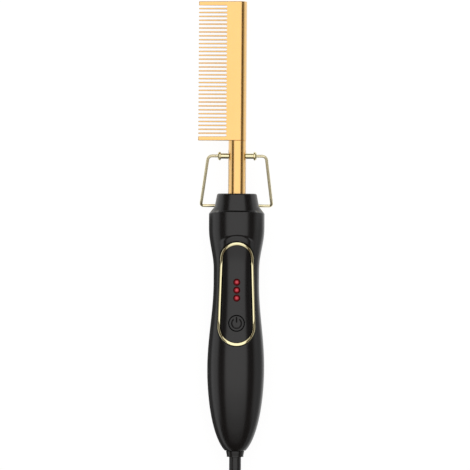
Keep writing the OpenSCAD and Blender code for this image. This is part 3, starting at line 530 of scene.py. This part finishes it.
def around(inner_a, inner_y, low_y, high_y, across, side, rows, spread):
    """Grid from a hole's outline (a, y) out to the rectangle from a = -1 to 1 between two places."""
    t, u = np.arange(side) / side, np.arange(across) / across
    outer_a = np.concatenate([1 + 0 * t, spread(1 - 2 * u), -1 + 0 * t, spread(2 * u - 1)])
    outer_y = np.concatenate([lerp(low_y, high_y, t), high_y + 0 * u, lerp(high_y, low_y, t), low_y + 0 * u])
    k = np.linspace(0, 1, rows + 1)[:, None]
    return lerp(inner_a, outer_a, k), lerp(inner_y, outer_y, k)


def shell_up(turn, y):
    """Height of a shell over the grip's radius: the bezel round the ring, less the softened seam."""
    r = grip_radius(y)
    step = egg_distance(r * np.sin(turn), y)
    front = np.clip(np.cos(turn), 0, 1)
    rise = np.clip((y - RING_LOW_Y) / RING_RUN, 0, 1)
    foot = lerp(BEZEL_FOOT_LOW, BEZEL_FOOT_TOP, rise)
    bezel = BEZEL_H * (1 - np.clip((step - foot) / BEZEL_STEP, 0, 1))
    bezel = bezel * ease((front - BEZEL_FRONT) / BEZEL_FADE) * ease(rise / BEZEL_START)
    seam = SEAM_DEPTH * np.clip(1 - np.arcsin(np.abs(np.cos(turn))) * r / SEAM_W, 0, 1)
    return bezel - seam


def shoulder(turn):
    """The flare's lower radius and the places of its two edges: a long flare at the sides and back, and a
    short, steep one in front."""
    c = np.cos(turn)
    short = ease((c - SHORT_FROM) / (SHORT_TO - SHORT_FROM))
    radius = BARREL * MM * np.hypot(np.sin(turn), c * np.where(c > 0, FLAT, 1))
    return radius, SHOULDER_Y + SHOULDER_RISE * short, FLARE_Y + (FLARE_TOP_FRONT - FLARE_Y) * short


def shell(front):
    """One half of the grip from rows of columns, with the egg opening or the two screw holes let in."""
    skin = Skin()

    def turn_of(a):
        return a * np.pi / 2 if front else np.pi - a * np.pi / 2

    def sheet(a, y, wrap=False):
        turn = turn_of(a)
        skin.grid(on_grip(turn, y, shell_up(turn, y)), wrap_cols=wrap)

    def share(x, y):
        return np.arcsin(x / grip_radius(y)) * 2 / np.pi

    def plain(low_y, high_y, rows):
        sheet(*np.meshgrid(columns, np.linspace(low_y, high_y, rows + 1)))

    def let_in(outline, low_y, high_y, side, rows, wall_z):
        x, y = outline(SOFT_EDGE[0][0] * MM)
        sheet(*around(share(x, y), y, low_y, high_y, ACROSS, side, rows, to_edges), wrap=True)
        rings = []
        for grow, down in SOFT_EDGE:
            x, y = outline(grow * MM)
            turn = turn_of(share(x, y))
            rings.append(on_grip(turn, y, shell_up(turn, y) - down * MM))
        rings.append(np.stack([x, y, wall_z(x, y)], -1))
        skin.grid(np.stack(rings), wrap_cols=True)
        return rings[-1]

    columns = to_edges(np.linspace(-1, 1, ACROSS + 1))
    high_block, low_block = BARREL_LOW * MM, EGG_BLOCK_LOW
    if front:
        let_in(lambda grow: egg(RING_GAP + grow), low_block, high_block, SIDE, 26,
               lambda x, y: on_front(x, y, -RING_SEAT)[..., 2])
    else:
        blocks = [(y - SCREW_BLOCK, y + SCREW_BLOCK) for y in SCREW_PLACES]
        for place, (low_y, high_y) in zip(SCREW_PLACES, blocks):
            floor = let_in(lambda grow: hole(place, SCREW_HOLE_R + grow, ACROSS, HOLE_SIDE), low_y, high_y,
                           HOLE_SIDE, 12, lambda x, y: AXIS_Z - SCREW_FLOOR + 0 * x)
            skin.disc(floor)
        plain(blocks[0][1], SHOULDER_BLOCK_Y, 3)
        plain(blocks[1][1], blocks[0][0], 60)
        high_block, low_block = SHOULDER_BLOCK_Y, blocks[1][0]
    turn = turn_of(columns)
    top = shoulder(turn)[1]
    rows = np.array([0, 0.2, 0.4, 0.6, 0.8, 0.93, 0.985, 1])[:, None]
    sheet(columns + 0 * rows, lerp(high_block, top, rows))
    skin.grid(np.stack([on_grip(turn, top, shell_up(turn, top) - down) for down in (0, WALL)]))
    rows = np.sin(np.pi / 2 * np.linspace(0, 1, 40))[:, None]
    sheet(columns + 0 * rows, low_block + (TAIL_Y - low_block) * rows)
    skin.grid(np.stack([on_grip(turn, TAIL_Y + 0 * turn, -down) for down in (0.0, TAIL_WALL)]))
    return skin


def ring():
    """Trim ring: a band with rounded edges carried round the egg outline over the grip's front. Where the
    grip falls away its top is lifted towards the outer edge, by (tan(fall) - tan(tilt)) cos(fall) for each
    millimetre across, with a steeper tilt at the corners. The sides are narrower, and lie lower."""
    band = rounded(RING_BAND)
    x, y = egg(RING_MIDDLE)
    outward = (egg(MM)[0] - egg(0)[0]) / MM
    fall = np.arctan(FLAT * x * outward / np.sqrt(grip_radius(y) ** 2 - x**2))
    past = np.maximum(y - RING_TOP_Y, RING_LOW_Y - y) / MM
    corner = ease((past - CORNER_START) / CORNER_IN) * (1 - ease((past - CORNER_END) / CORNER_OUT))
    lean = np.maximum(np.tan(fall) - np.tan(lerp(RING_TILT, CORNER_TILT, corner)), 0) * np.cos(fall)
    at_side = ease(fall / SIDE_FALL)
    half = lerp(RING_W / 2, RING_SIDE_W / 2, at_side)
    bead = []
    for part, up in band:
        across = part / MM * half
        lift = (lean * np.minimum(across + half, RING_LEAN) - RING_SINK * at_side) * (up > 0)
        bead.append(on_front(*egg(across + lerp(RING_MIDDLE, RING_MIDDLE_SIDE, at_side)), up + lift))
    return Skin().grid(np.stack(bead), wrap_rows=True, wrap_cols=True)


BUTTON_Y, BUTTON_R, BUTTON_GAP = 28.8 * MM, 4.9 * MM, 0.12 * MM
BUTTON_BLOCK, HOLE_ROWS = 13.4 * MM, 8
PANEL_DOWN, PANEL_TUCK = 0.4 * MM, 0.5 * MM
LAMP_PLACES, LAMP_R, LAMP_PITCH = (44.7 * MM, 49.7 * MM, 54.7 * MM), 1.5 * MM, 5 * MM
LAMP_DOME, LAMP_FOOT, LAMP_PROUD = 0.7, 1.8 * MM, 0.1 * MM
# Steps of the edges in millimetres: (distance outward, depth) for the panel and the button's hole, and
# (radius, depth) for a dish and the cap.
PANEL_EDGE = ((0, 0), (0.08, 0.03), (0.14, 0.1), (0.16, 0.2), (0.16, 0.7), (1.4, 0.7))
BUTTON_EDGE = ((0.36, 0), (0.26, 0.06), (0.16, 0.2), (0.08, 0.42), (0, 1.6))
DISH = ((2.34, 0), (2.26, 0.02), (2.2, 0.08), (2.14, 0.2), (2.0, 0.5), (1.85, 0.66), (1.62, 0.7))
CAP_EDGE = ((4.6, 0.03), (4.68, 0.09), (4.76, 0.19), (4.83, 0.33), (4.88, 0.5), (4.9, 2.2))
CAP_FLAT_R, CAP_RINGS, MARK_DEPTH = 4.5, 46, 0.32 * MM


def panel():
    """Control panel: bands of columns across the egg, with a hole for the button and a dish for each lamp."""
    skin = Skin()
    tuck = -RING_W - PANEL_TUCK

    def sheet(a, y, wrap=False):
        skin.grid(on_front(a * egg_half_width(y, tuck), y, -PANEL_DOWN), wrap_cols=wrap)

    def plain(low_y, high_y, rows, shape=evenly):
        y = lerp(low_y, high_y, shape(np.linspace(0, 1, rows + 1)))
        sheet(*np.meshgrid(np.linspace(-1, 1, ACROSS + 1), y))

    def opening(y, half, steps):
        x0, y0 = hole(y, steps[0][0] * MM, ACROSS, HOLE_SIDE)
        a = x0 / egg_half_width(y0, tuck)
        sheet(*around(a, y0, y - half, y + half, ACROSS, HOLE_SIDE, HOLE_ROWS, evenly), wrap=True)
        rings = [on_front(*hole(y, r * MM, ACROSS, HOLE_SIDE), -PANEL_DOWN - down * MM) for r, down in steps]
        skin.grid(np.stack(rings), wrap_cols=True)
        return rings[-1]

    rim = [on_front(*egg(tuck + out * MM), -PANEL_DOWN - down * MM) for out, down in PANEL_EDGE]
    skin.grid(np.stack(rim), wrap_cols=True)
    low_end, high_end = RING_LOW_Y - RING_LOW_R - tuck, RING_TOP_Y + RING_TOP_R + tuck
    button_low, button_high = BUTTON_Y - BUTTON_BLOCK / 2, BUTTON_Y + BUTTON_BLOCK / 2
    r = (BUTTON_R + BUTTON_GAP) / MM
    plain(low_end, button_low, 10, lambda t: t**2)
    opening(BUTTON_Y, BUTTON_BLOCK / 2, [(r + out, down) for out, down in BUTTON_EDGE])
    plain(button_high, LAMP_PLACES[0] - LAMP_PITCH / 2, 6)
    for place in LAMP_PLACES:
        skin.disc(opening(place, LAMP_PITCH / 2, DISH))
    plain(LAMP_PLACES[-1] + LAMP_PITCH / 2, high_end, 24, lambda t: 1 - (1 - t) ** 2)
    return skin


def power_mark(x, y):
    """How far a point is from the power symbol's line, as a share of its groove's half width: an arc open at
    the top, whose groove is wider inside than outside, and a bar through the gap."""
    arc_r, gap, bar_low, bar_top = 3.2, math.radians(40), 0.9, 3.7
    inside, outside, half = 0.64, 0.36, 0.5
    x, y = np.abs(x) / MM, y / MM
    in_gap = np.arctan2(x, y) < gap
    out = np.hypot(x, y) - arc_r
    arc = np.where(in_gap, np.hypot(x - arc_r * math.sin(gap), y - arc_r * math.cos(gap)) / half,
                   np.maximum(out / outside, -out / inside))
    bar = np.hypot(x, y - np.clip(y, bar_low, bar_top)) / half
    return np.minimum(arc, bar)


def button():
    """Round button cap that follows the grip's front, with a softened edge and the power symbol sunk in."""
    edge_r, edge_down = np.array(CAP_EDGE).T
    steps = np.concatenate([np.linspace(0, CAP_FLAT_R, CAP_RINGS), edge_r]) * MM
    down = PANEL_DOWN + np.concatenate([np.zeros(CAP_RINGS), edge_down]) * MM
    a = np.arange(200) * np.pi / 100
    x, y = steps[:, None] * np.cos(a), steps[:, None] * np.sin(a)
    sunk = MARK_DEPTH * np.clip(1 - power_mark(x, y), 0, 1)
    return Skin().grid(on_front(x, BUTTON_Y + y, -sunk - down[:, None]), wrap_cols=True)


def lamp(place):
    """Domed lamp with a short straight foot in its dish."""
    b = np.linspace(0, np.pi / 2, 10)
    r = np.concatenate([LAMP_R * np.sin(b), [LAMP_R]])
    z = np.concatenate([LAMP_R * LAMP_DOME * (np.cos(b) - 1), [-LAMP_FOOT]]) - PANEL_DOWN * FLAT + LAMP_PROUD
    a = np.arange(40) * np.pi / 20
    top = on_front(np.zeros(1), np.full(1, place))[0, 2]
    return Skin().grid(np.stack(np.broadcast_arrays(r[:, None] * np.cos(a), place + r[:, None] * np.sin(a),
                                                    (top + z)[:, None]), -1), wrap_cols=True)


# The nose cap in millimetres: where its cone becomes straight, its end, the bore's radius and depth, and the
# roundings of the two edges.
CONE_LOW, NOSE_END, NOSE_BORE_R, NOSE_BORE_Y, NOSE_EDGE, BORE_EDGE = 104, 110.8, 5.75, 108, 1.2, 0.15
FLARE_SINK = 0.1 * MM


def cone_radius(y):
    """Radius at place y of the cone from the flare to the nose cap's end."""
    return FLARE_R + (NOSE_R - FLARE_R) * (y - FLARE_Y) / (NOSE_Y - FLARE_Y)


def nose_cap():
    """Nose cap: rows round the axis from under the shells up the flare and the cone, over the softened upper
    edge and the flat end, and down the bore round the neck tube."""
    turn = np.arange(160) * np.pi / 80
    radius, low_y, high_y = shoulder(turn)
    cone = cone_radius(high_y)
    t = np.array([-0.05, 0, 0.04, 0.3, 0.6, 0.9, 0.97])[:, None]
    sunk = FLARE_SINK * np.clip(1 - t * 25, 0, 12)
    flare = np.stack([radius + (cone - radius) * t - sunk, low_y + (high_y - low_y) * t])
    t = np.array([0.015, 0.06, 0.4, 0.8])[:, None]
    cone_low, cone_r = CONE_LOW * MM, cone_radius(CONE_LOW * MM)
    rise = np.stack([cone + (cone_r - cone) * t, high_y + (cone_low - high_y) * t])
    top = rounded([(cone_r / MM, CONE_LOW, 0), (NOSE_R / MM, NOSE_END, NOSE_EDGE),
                   (NOSE_BORE_R, NOSE_END, BORE_EDGE), (NOSE_BORE_R, NOSE_BORE_Y, 0)])
    top = np.broadcast_to(top.T[:, :, None], (2, len(top), len(turn)))
    r, y = np.concatenate([flare, rise, top], axis=1)
    return Skin().grid(np.stack([r * np.sin(turn), y, AXIS_Z + r * np.cos(turn)], -1), wrap_cols=True)


shell(True).piece("front_shell_skin", "handle", satin_black, "front_shell", slot="satin_black")
shell(False).piece("rear_shell_skin", "handle", satin_black, "rear_shell", slot="satin_black")
ring().piece("trim_ring_bead", "handle", gilt_trim, "trim_ring", slot="gilt_trim")
face = panel().piece("control_panel_skin", "handle", panel_black, "control_panel", slot="panel_black")
face.data.materials.append(dish_painted_lamp_glow)
middles = np.zeros(len(face.data.polygons) * 3)
face.data.polygons.foreach_get("center", middles)
x, y = middles.reshape(-1, 3)[:, :2].T
# Faces in a lamp's dish take the painted red lamp glow.
in_dish = np.min([np.hypot(x, y - place) for place in LAMP_PLACES], axis=0) < DISH[1][0] * MM
face.data.polygons.foreach_set("material_index", in_dish.astype(np.int32))
button().piece("power_button_cap", "button", panel_black, "power_button", slot="panel_black")
for number, place in enumerate(LAMP_PLACES, 1):
    lamp(place).piece(f"lamp_dome_{number}", "handle", lamp_red, f"lamp_{number}", slot="lamp_red")
nose_cap().piece("nose_cap_skin", "handle", satin_black, "nose_cap", slot="satin_black")

# ---------------------------------------------------------------- comb
SPINE_R, TIP_X, TIP_HALF, ROOT_X = 5.69 * MM, 24.9 * MM, 0.5 * MM, 6.95 * MM
THIN_TEETH, TOOTH_W, END_TOOTH_W = 33, 0.9 * MM, 2.65 * MM
HEAD_LEN = HEAD_END_Y - HEAD_Y
GAP = (HEAD_LEN - 2 * END_TOOTH_W - THIN_TEETH * TOOTH_W) / (THIN_TEETH + 1)
TAPER = math.asin(SPINE_R / math.hypot(TIP_X, TIP_HALF)) - math.atan(TIP_HALF / TIP_X)
END_BEVEL, TOOTH_EDGE, TIP_ROUND = 0.45 * MM, 0.26 * MM, 0.4 * MM


def tooth(low_y, high_y, low_end, high_end):
    """Rings of a tooth from its root to its tip. Each is a rectangle, y from low to high and z from -h to h,
    with rounded corners. At the root a side that faces a gap flares, along a circle of radius GAP / 2."""
    b = np.linspace(np.pi / 2, 0, 9)
    e = np.linspace(0, np.pi / 2, 6)[1:]
    straight = np.linspace(-ROOT_X - GAP / 2, -TIP_X + TIP_ROUND, 12)
    at_root, at_tip = -ROOT_X - GAP / 2 * (1 - np.sin(b)), -TIP_X + TIP_ROUND * (1 - np.sin(e))
    x = np.concatenate([at_root, straight[1:], at_tip])
    flare = np.concatenate([GAP / 2 * (1 - np.cos(b)), 0 * straight[1:], 0 * e])
    edge = np.concatenate([TOOTH_EDGE * np.cos(b), TOOTH_EDGE + 0 * straight[1:], TOOTH_EDGE + 0 * e])
    tuck = np.concatenate([0 * b, 0 * straight[1:], TIP_ROUND * (1 - np.cos(e))])
    h = TIP_HALF + (x + TIP_X) * math.tan(TAPER) - tuck
    lo = low_y - flare * (not low_end) + tuck
    hi = high_y + flare * (not high_end) - tuck
    lo_edge, hi_edge = (np.where(end, END_BEVEL, edge) for end in (low_end, high_end))
    arc, flat, wall = np.linspace(0, np.pi / 2, 4), np.linspace(0, 1, 5)[1:-1], np.linspace(1, -1, 4)[1:-1]
    rings = []
    for x_at, h_at, a, c, r, q in zip(x, h, lo, hi, lo_edge, hi_edge):
        left = np.stack([a + r * (1 - np.cos(arc)), h_at - r * (1 - np.sin(arc))], -1)
        right = np.stack([c - q * (1 - np.cos(arc[::-1])), h_at - q * (1 - np.sin(arc[::-1]))], -1)
        upper = np.concatenate([left, np.stack([lerp(a + r, c - q, flat), h_at + 0 * flat], -1), right])
        lower = upper[::-1] * (1, -1)
        side_r = np.stack([c + 0 * wall, (h_at - q) * wall], -1)
        side_l = np.stack([a + 0 * wall, -(h_at - r) * wall], -1)
        outline = np.concatenate([upper, side_r, lower, side_l])
        rings.append(np.column_stack([np.full(len(outline), x_at), outline[:, 0], AXIS_Z + outline[:, 1]]))
    return np.stack(rings), len(upper)


def comb():
    """Comb head: the body's section carried along the head, and a tooth for each pitch on its root line."""
    skin = Skin()
    lows = np.concatenate([[0], END_TOOTH_W + GAP + (TOOTH_W + GAP) * np.arange(THIN_TEETH),
                           [HEAD_LEN - END_TOOTH_W]]) + HEAD_Y
    widths = np.concatenate([[END_TOOTH_W], np.full(THIN_TEETH, TOOTH_W), [END_TOOTH_W]])
    root = TIP_HALF + (TIP_X - ROOT_X) * math.tan(TAPER)
    places, ends = [], []
    for i, (low_y, width) in enumerate(zip(lows, widths)):
        rings, upper = tooth(low_y, low_y + width, i == 0, i == len(lows) - 1)
        skin.grid(rings, wrap_cols=True).disc(rings[-1])
        places.append(rings[0, :upper, 1:] - (0, AXIS_Z + root))
        ends.append(rings[0])
    places = np.concatenate(places)
    turn = np.linspace(np.pi / 2 + TAPER, -np.pi / 2 - TAPER, 49)
    sections = []
    for y, rise in places:
        r = SPINE_R + rise
        back = np.stack([r * np.cos(turn), r * np.sin(turn)], -1)
        flank = lerp(np.array([-ROOT_X, root + rise]), back[0], np.linspace(0, 1, 7)[:-1, None])
        outline = np.concatenate([flank, back, flank[::-1] * (1, -1)])
        sections.append(np.column_stack([outline[:, 0], np.full(len(outline), y), AXIS_Z + outline[:, 1]]))
    sections = np.stack(sections)
    skin.grid(sections)
    for section, outer in ((sections[0], ends[0][-2:]), (sections[-1], ends[-1][upper:upper + 2][::-1])):
        skin.disc(np.concatenate([section, outer]))
    return skin


comb().piece("comb_head_skin", "handle", gold_head, "comb_head", slot="gold_head", weld=0.008 * MM)

# ---------------------------------------------------------------- neck fittings and swivel


def about_pivot(profile, side, turns=48):
    """Points (radius, distance from the axis) turned about the stand's pivot line, beside the neck tube."""
    a = np.arange(turns) * 2 * np.pi / turns
    r, x = profile[:, :1], profile[:, 1:]
    return np.stack([side * x + 0 * a, PIVOT_Y + r * np.cos(a), AXIS_Z + r * np.sin(a)], -1)


BUSH = [(1.0, 10.2, 0), (1.0, 12.3, 0.15), (2.05, 12.3, 0.5), (2.7, 11.35, 0.4), (2.7, 10.6, 0.2),
        (1.72, 10.4, 0.15), (1.72, 5.2, 0)]
for name, side in (("left", -1), ("right", 1)):
    skin = Skin().grid(about_pivot(rounded(BUSH), side), wrap_cols=True)
    skin.piece(f"stand_bush_{name}_turned", "handle", pale_gilt, f"stand_bush_{name}", slot="gilt_steel")

COLLAR = [(3.4, -52.5, 0), (5.85, -52.5, 0.25), (5.25, -55.5, 0.3), (5.35, -55.8, 0.1), (5.35, -56.2, 0.1),
          (3.4, -56.2, 0)]
BOOT = [(0, -55.9, 0), (3.75, -55.9, 0.1), (3.75, -66, 4), (2.8, -85.4, 0.6), (2.52, -86, 0.1), (2.0, -86, 0)]
collar_skin = Skin().grid(lathe(rounded(COLLAR)), wrap_cols=True)
collar_skin.piece("swivel_collar_turned", "swivel", satin_black, "swivel_collar", slot="satin_black")
boot_skin = Skin().grid(lathe(rounded(BOOT)), wrap_cols=True)
boot = boot_skin.piece("cord_boot_turned", "swivel", cord_black, "cord_boot", slot="cord_black")

# ---------------------------------------------------------------- cord, tie and plug in the scene
cord_skin = capped(tube(cord_path, CORD_D / 2))
cord = cord_skin.piece("cord", "swivel", cord_black, "cord_lead", "cord_hank", "cord_tail", slot="cord_black")


def strap():
    """Tie: a band round the hank, a rounded rectangle in X and Z whose section is a thin rounded strip."""
    half, low_z, high_z, corner, width = 22.5 * MM, 0.42 * MM, 22.8 * MM, 2.9 * MM, 12 * MM
    half_thick, blunt = 0.38 * MM, 0.35
    a = np.linspace(0, np.pi / 2, 9)
    spots = ((half - corner, high_z - corner, 0), (corner - half, high_z - corner, 1),
             (corner - half, low_z + corner, 2), (half - corner, low_z + corner, 3))
    loop = np.concatenate([np.stack([x + 0 * a, z + 0 * a, a + k * np.pi / 2], -1) for x, z, k in spots])
    b = np.arange(24) * np.pi / 12
    out = half_thick * np.sign(np.sin(b)) * np.abs(np.sin(b)) ** blunt
    wide = width / 2 * np.sign(np.cos(b)) * np.abs(np.cos(b)) ** blunt
    x, z, turn = loop[:, :1], loop[:, 1:2], loop[:, 2:]
    r = corner + out
    points = np.broadcast_arrays(x + r * np.cos(turn), HANK_MIDDLE * MM + wide, z + r * np.sin(turn))
    return Skin().grid(np.stack(points, -1), wrap_rows=True, wrap_cols=True)


PLUG_Z, PLUG_FLATNESS = 6.85, 6


def plug():
    """Plug: stations (place, half width, half height) joined by a smooth curve, each a stadium outline
    x = (w - h) tanh(PLUG_FLATNESS cos a) + h cos a, z = PLUG_Z + h sin a. It lies on the table."""
    stations = np.array([(-257, 3.1, 3.1), (-257.4, 3.35, 3.35), (-261, 4.1, 4.1), (-265.6, 5.2, 5.2),
                         (-267.4, 7.0, 6.2), (-270, 8.0, 6.75), (-274, 9.6, PLUG_Z), (-279, 13.4, PLUG_Z),
                         (-283.5, 16.5, PLUG_Z), (-288, 17.6, PLUG_Z), (-292.6, 17.65, PLUG_Z),
                         (-293.6, 17.4, 6.6), (-294, 16.7, 5.9)], float)
    y, w, h = smooth_path(stations, 5).T[:, :, None] * MM
    a = np.arange(64) * np.pi / 32
    x = (w - h) * np.tanh(np.cos(a) * PLUG_FLATNESS) + h * np.cos(a)
    return capped(np.stack(np.broadcast_arrays(x, y, PLUG_Z * MM + h * np.sin(a)), -1))


tie = strap().piece("cord_tie_strap", "swivel", tie_strap, "cord_tie", slot="plug_black")
plug_piece = plug().piece("plug_body_moulded", "swivel", plug_black, "plug_body", slot="plug_black")

# ---------------------------------------------------------------- table, light and backdrop


TABLE_HALF, TABLE_TONE, TABLE_WHITE, TABLE_SHARE = 3, 0.9, 1.12, 0.83
# What the object mirrors of the table, a painted reflection: the dark zones beside the grip on the left and
# under the neck are a painted shadow of the object, and the bright zones are painted light. Each pair is
# where a change starts and ends in metres, or from what brightness to what. Beside the grip it goes by x;
# past NECK_START, by the distance from the middle line.
LEFT_RUN, LEFT_LIGHT = (-0.05, -0.08), (0.04, 0.95)
RIGHT_RUN, RIGHT_LIGHT = (0.032, 0.05), (1.0, 0.33)
FAR_RUN, FAR_LIGHT = (0.1, 0.25), (0.0, 0.2)
NECK_START, STRIP_END = (0.094, 0.106), (0.138, 0.142)
STRIP_REACH, STRIP_FADE, STRIP_LIGHT = (0.0125, -0.02), 0.006, (0.08, 1.0)


def table_top():
    """White table under the object. The camera sees it white with a faint shadow, and diffuse rays see it
    plain. In mirrored rays it shows a painted reflection: a painted shadow of the object, dark beside the
    grip close by on the left and in a narrow strip under the neck, and painted light, bright close by on the
    right and round the comb."""
    material = bpy.data.materials.new("table_white")
    material.use_nodes = True
    tree = material.node_tree
    tree.nodes.clear()
    s = Ink(tree)
    rays = s.node("LightPath", None, {})
    seen, mirrored = (Ink(tree, rays.outputs[name]) for name in ("Is Camera Ray", "Is Glossy Ray"))
    place = s.node("TexCoord", "Object", {})
    x, y = place.part(0), place.part(1)
    left = s.slope(*LEFT_RUN, x, *LEFT_LIGHT)
    right = s.slope(*RIGHT_RUN, x, *RIGHT_LIGHT) + s.slope(*FAR_RUN, x, *FAR_LIGHT)
    on_right = s.math("GREATER_THAN", x, 0.0)
    by_grip = left * (1 - on_right) + right * on_right
    upper = s.slope(*NECK_START, y, 0.0, 1.0)
    reach = s.slope(*STRIP_END, y, *STRIP_REACH)
    by_neck = s.slope(reach, reach + STRIP_FADE, s.math("ABSOLUTE", x), *STRIP_LIGHT)
    # Brightness in mirrored rays: a painted shadow of the grip and neck, and painted light right of the grip
    # and round the comb.
    shown = mirrored * (by_grip + (by_neck - by_grip) * upper)
    lit = s.node("BsdfDiffuse", 0, {"Color": rgb(TABLE_TONE, TABLE_TONE, TABLE_TONE)})
    glow = s.node("Emission", 0, {"Strength": seen * TABLE_WHITE + shown})
    out = s.node("OutputMaterial", None, {})
    blend = {0: (seen + mirrored) * TABLE_SHARE, 1: lit, 2: glow}
    s.put(out.inputs["Surface"], s.node("MixShader", 0, blend))
    return material


def lamp_panel(name, place, aim, size, strength):
    """Rectangular light of the given radiance, which faces aim and isn't seen by the camera."""
    light = bpy.data.lights.new(name, "AREA")
    light.shape, (light.size, light.size_y) = "RECTANGLE", size
    light.energy = strength * math.pi * size[0] * size[1]
    obj = bpy.data.objects.new(name, light)
    bpy.context.scene.collection.objects.link(obj)
    obj.location = place
    obj.rotation_euler = (Vector(aim) - Vector(place)).to_track_quat("-Z", "Y").to_euler()
    obj.visible_camera = False
    return obj


table_mesh = bpy.data.meshes.new("table")
corners = [(x * TABLE_HALF, y * TABLE_HALF, 0) for x, y in ((-1, -1), (1, -1), (1, 1), (-1, 1))]
table_mesh.from_pydata(corners, [], [(0, 1, 2, 3)])
table_mesh.materials.append(table_top())
table = bpy.data.objects.new("table", table_mesh)
bpy.context.scene.collection.objects.link(table)

# Softboxes one over another, each wider: (half width, reach towards the cord, radiance).
SOFTBOXES = ((0.86, 0.3, 0.3), (0.94, 0.55, 0.3), (1.02, 0.95, 0.27), (1.12, 1.6, 0.22))
SOFTBOX_Z, SOFTBOX_STEP, SOFTBOX_FAR_Y, SOFTBOX_MIDDLE_Y = 1.0, 0.01, 1.15, 0.085
for number, (half_x, near_y, strength) in enumerate(SOFTBOXES):
    middle = SOFTBOX_MIDDLE_Y + (SOFTBOX_FAR_Y - near_y) / 2
    place, size = (0, middle, SOFTBOX_Z + number * SOFTBOX_STEP), (2 * half_x, SOFTBOX_FAR_Y + near_y)
    lamp_panel(f"softbox_{number}", place, (0, middle, 0), size, strength)

# The room: white to the camera. The object sees dim, warm surroundings with a low bright wall on its left
# and another on its right, the left one brighter.
WALL_LIGHT, LEFT_EXTRA, WALL_ENDS, WALL_TOP = 0.5, 0.4, (0.2, 0.45), (0.14, 0.34)
WHITE, DIM_ROOM = rgb(1, 1, 1), rgb(0.09, 0.07, 0.055)
world = bpy.data.worlds.new("world")
bpy.context.scene.world = world
world.use_nodes = True
world.node_tree.nodes.clear()
s = Ink(world.node_tree)
rays = s.node("LightPath", "Is Camera Ray", {})
toward = s.node("TexCoord", "Generated", {})
sideways = s.slope(*WALL_ENDS, s.math("ABSOLUTE", toward.part(1)), 1.0, 0.0)
wall = (WALL_LIGHT + LEFT_EXTRA * s.math("LESS_THAN", toward.part(0), 0.0)) * sideways
room = s.slope(*WALL_TOP, toward.part(2), wall, 0.0)
dim = s.mix(room, DIM_ROOM, WHITE)
sky = s.node("Background", 0, {"Color": s.mix(rays, dim, WHITE)})
s.put(s.node("OutputWorld", None, {}).inputs["Surface"], sky)
bpy.context.scene.view_settings.view_transform = "Standard"
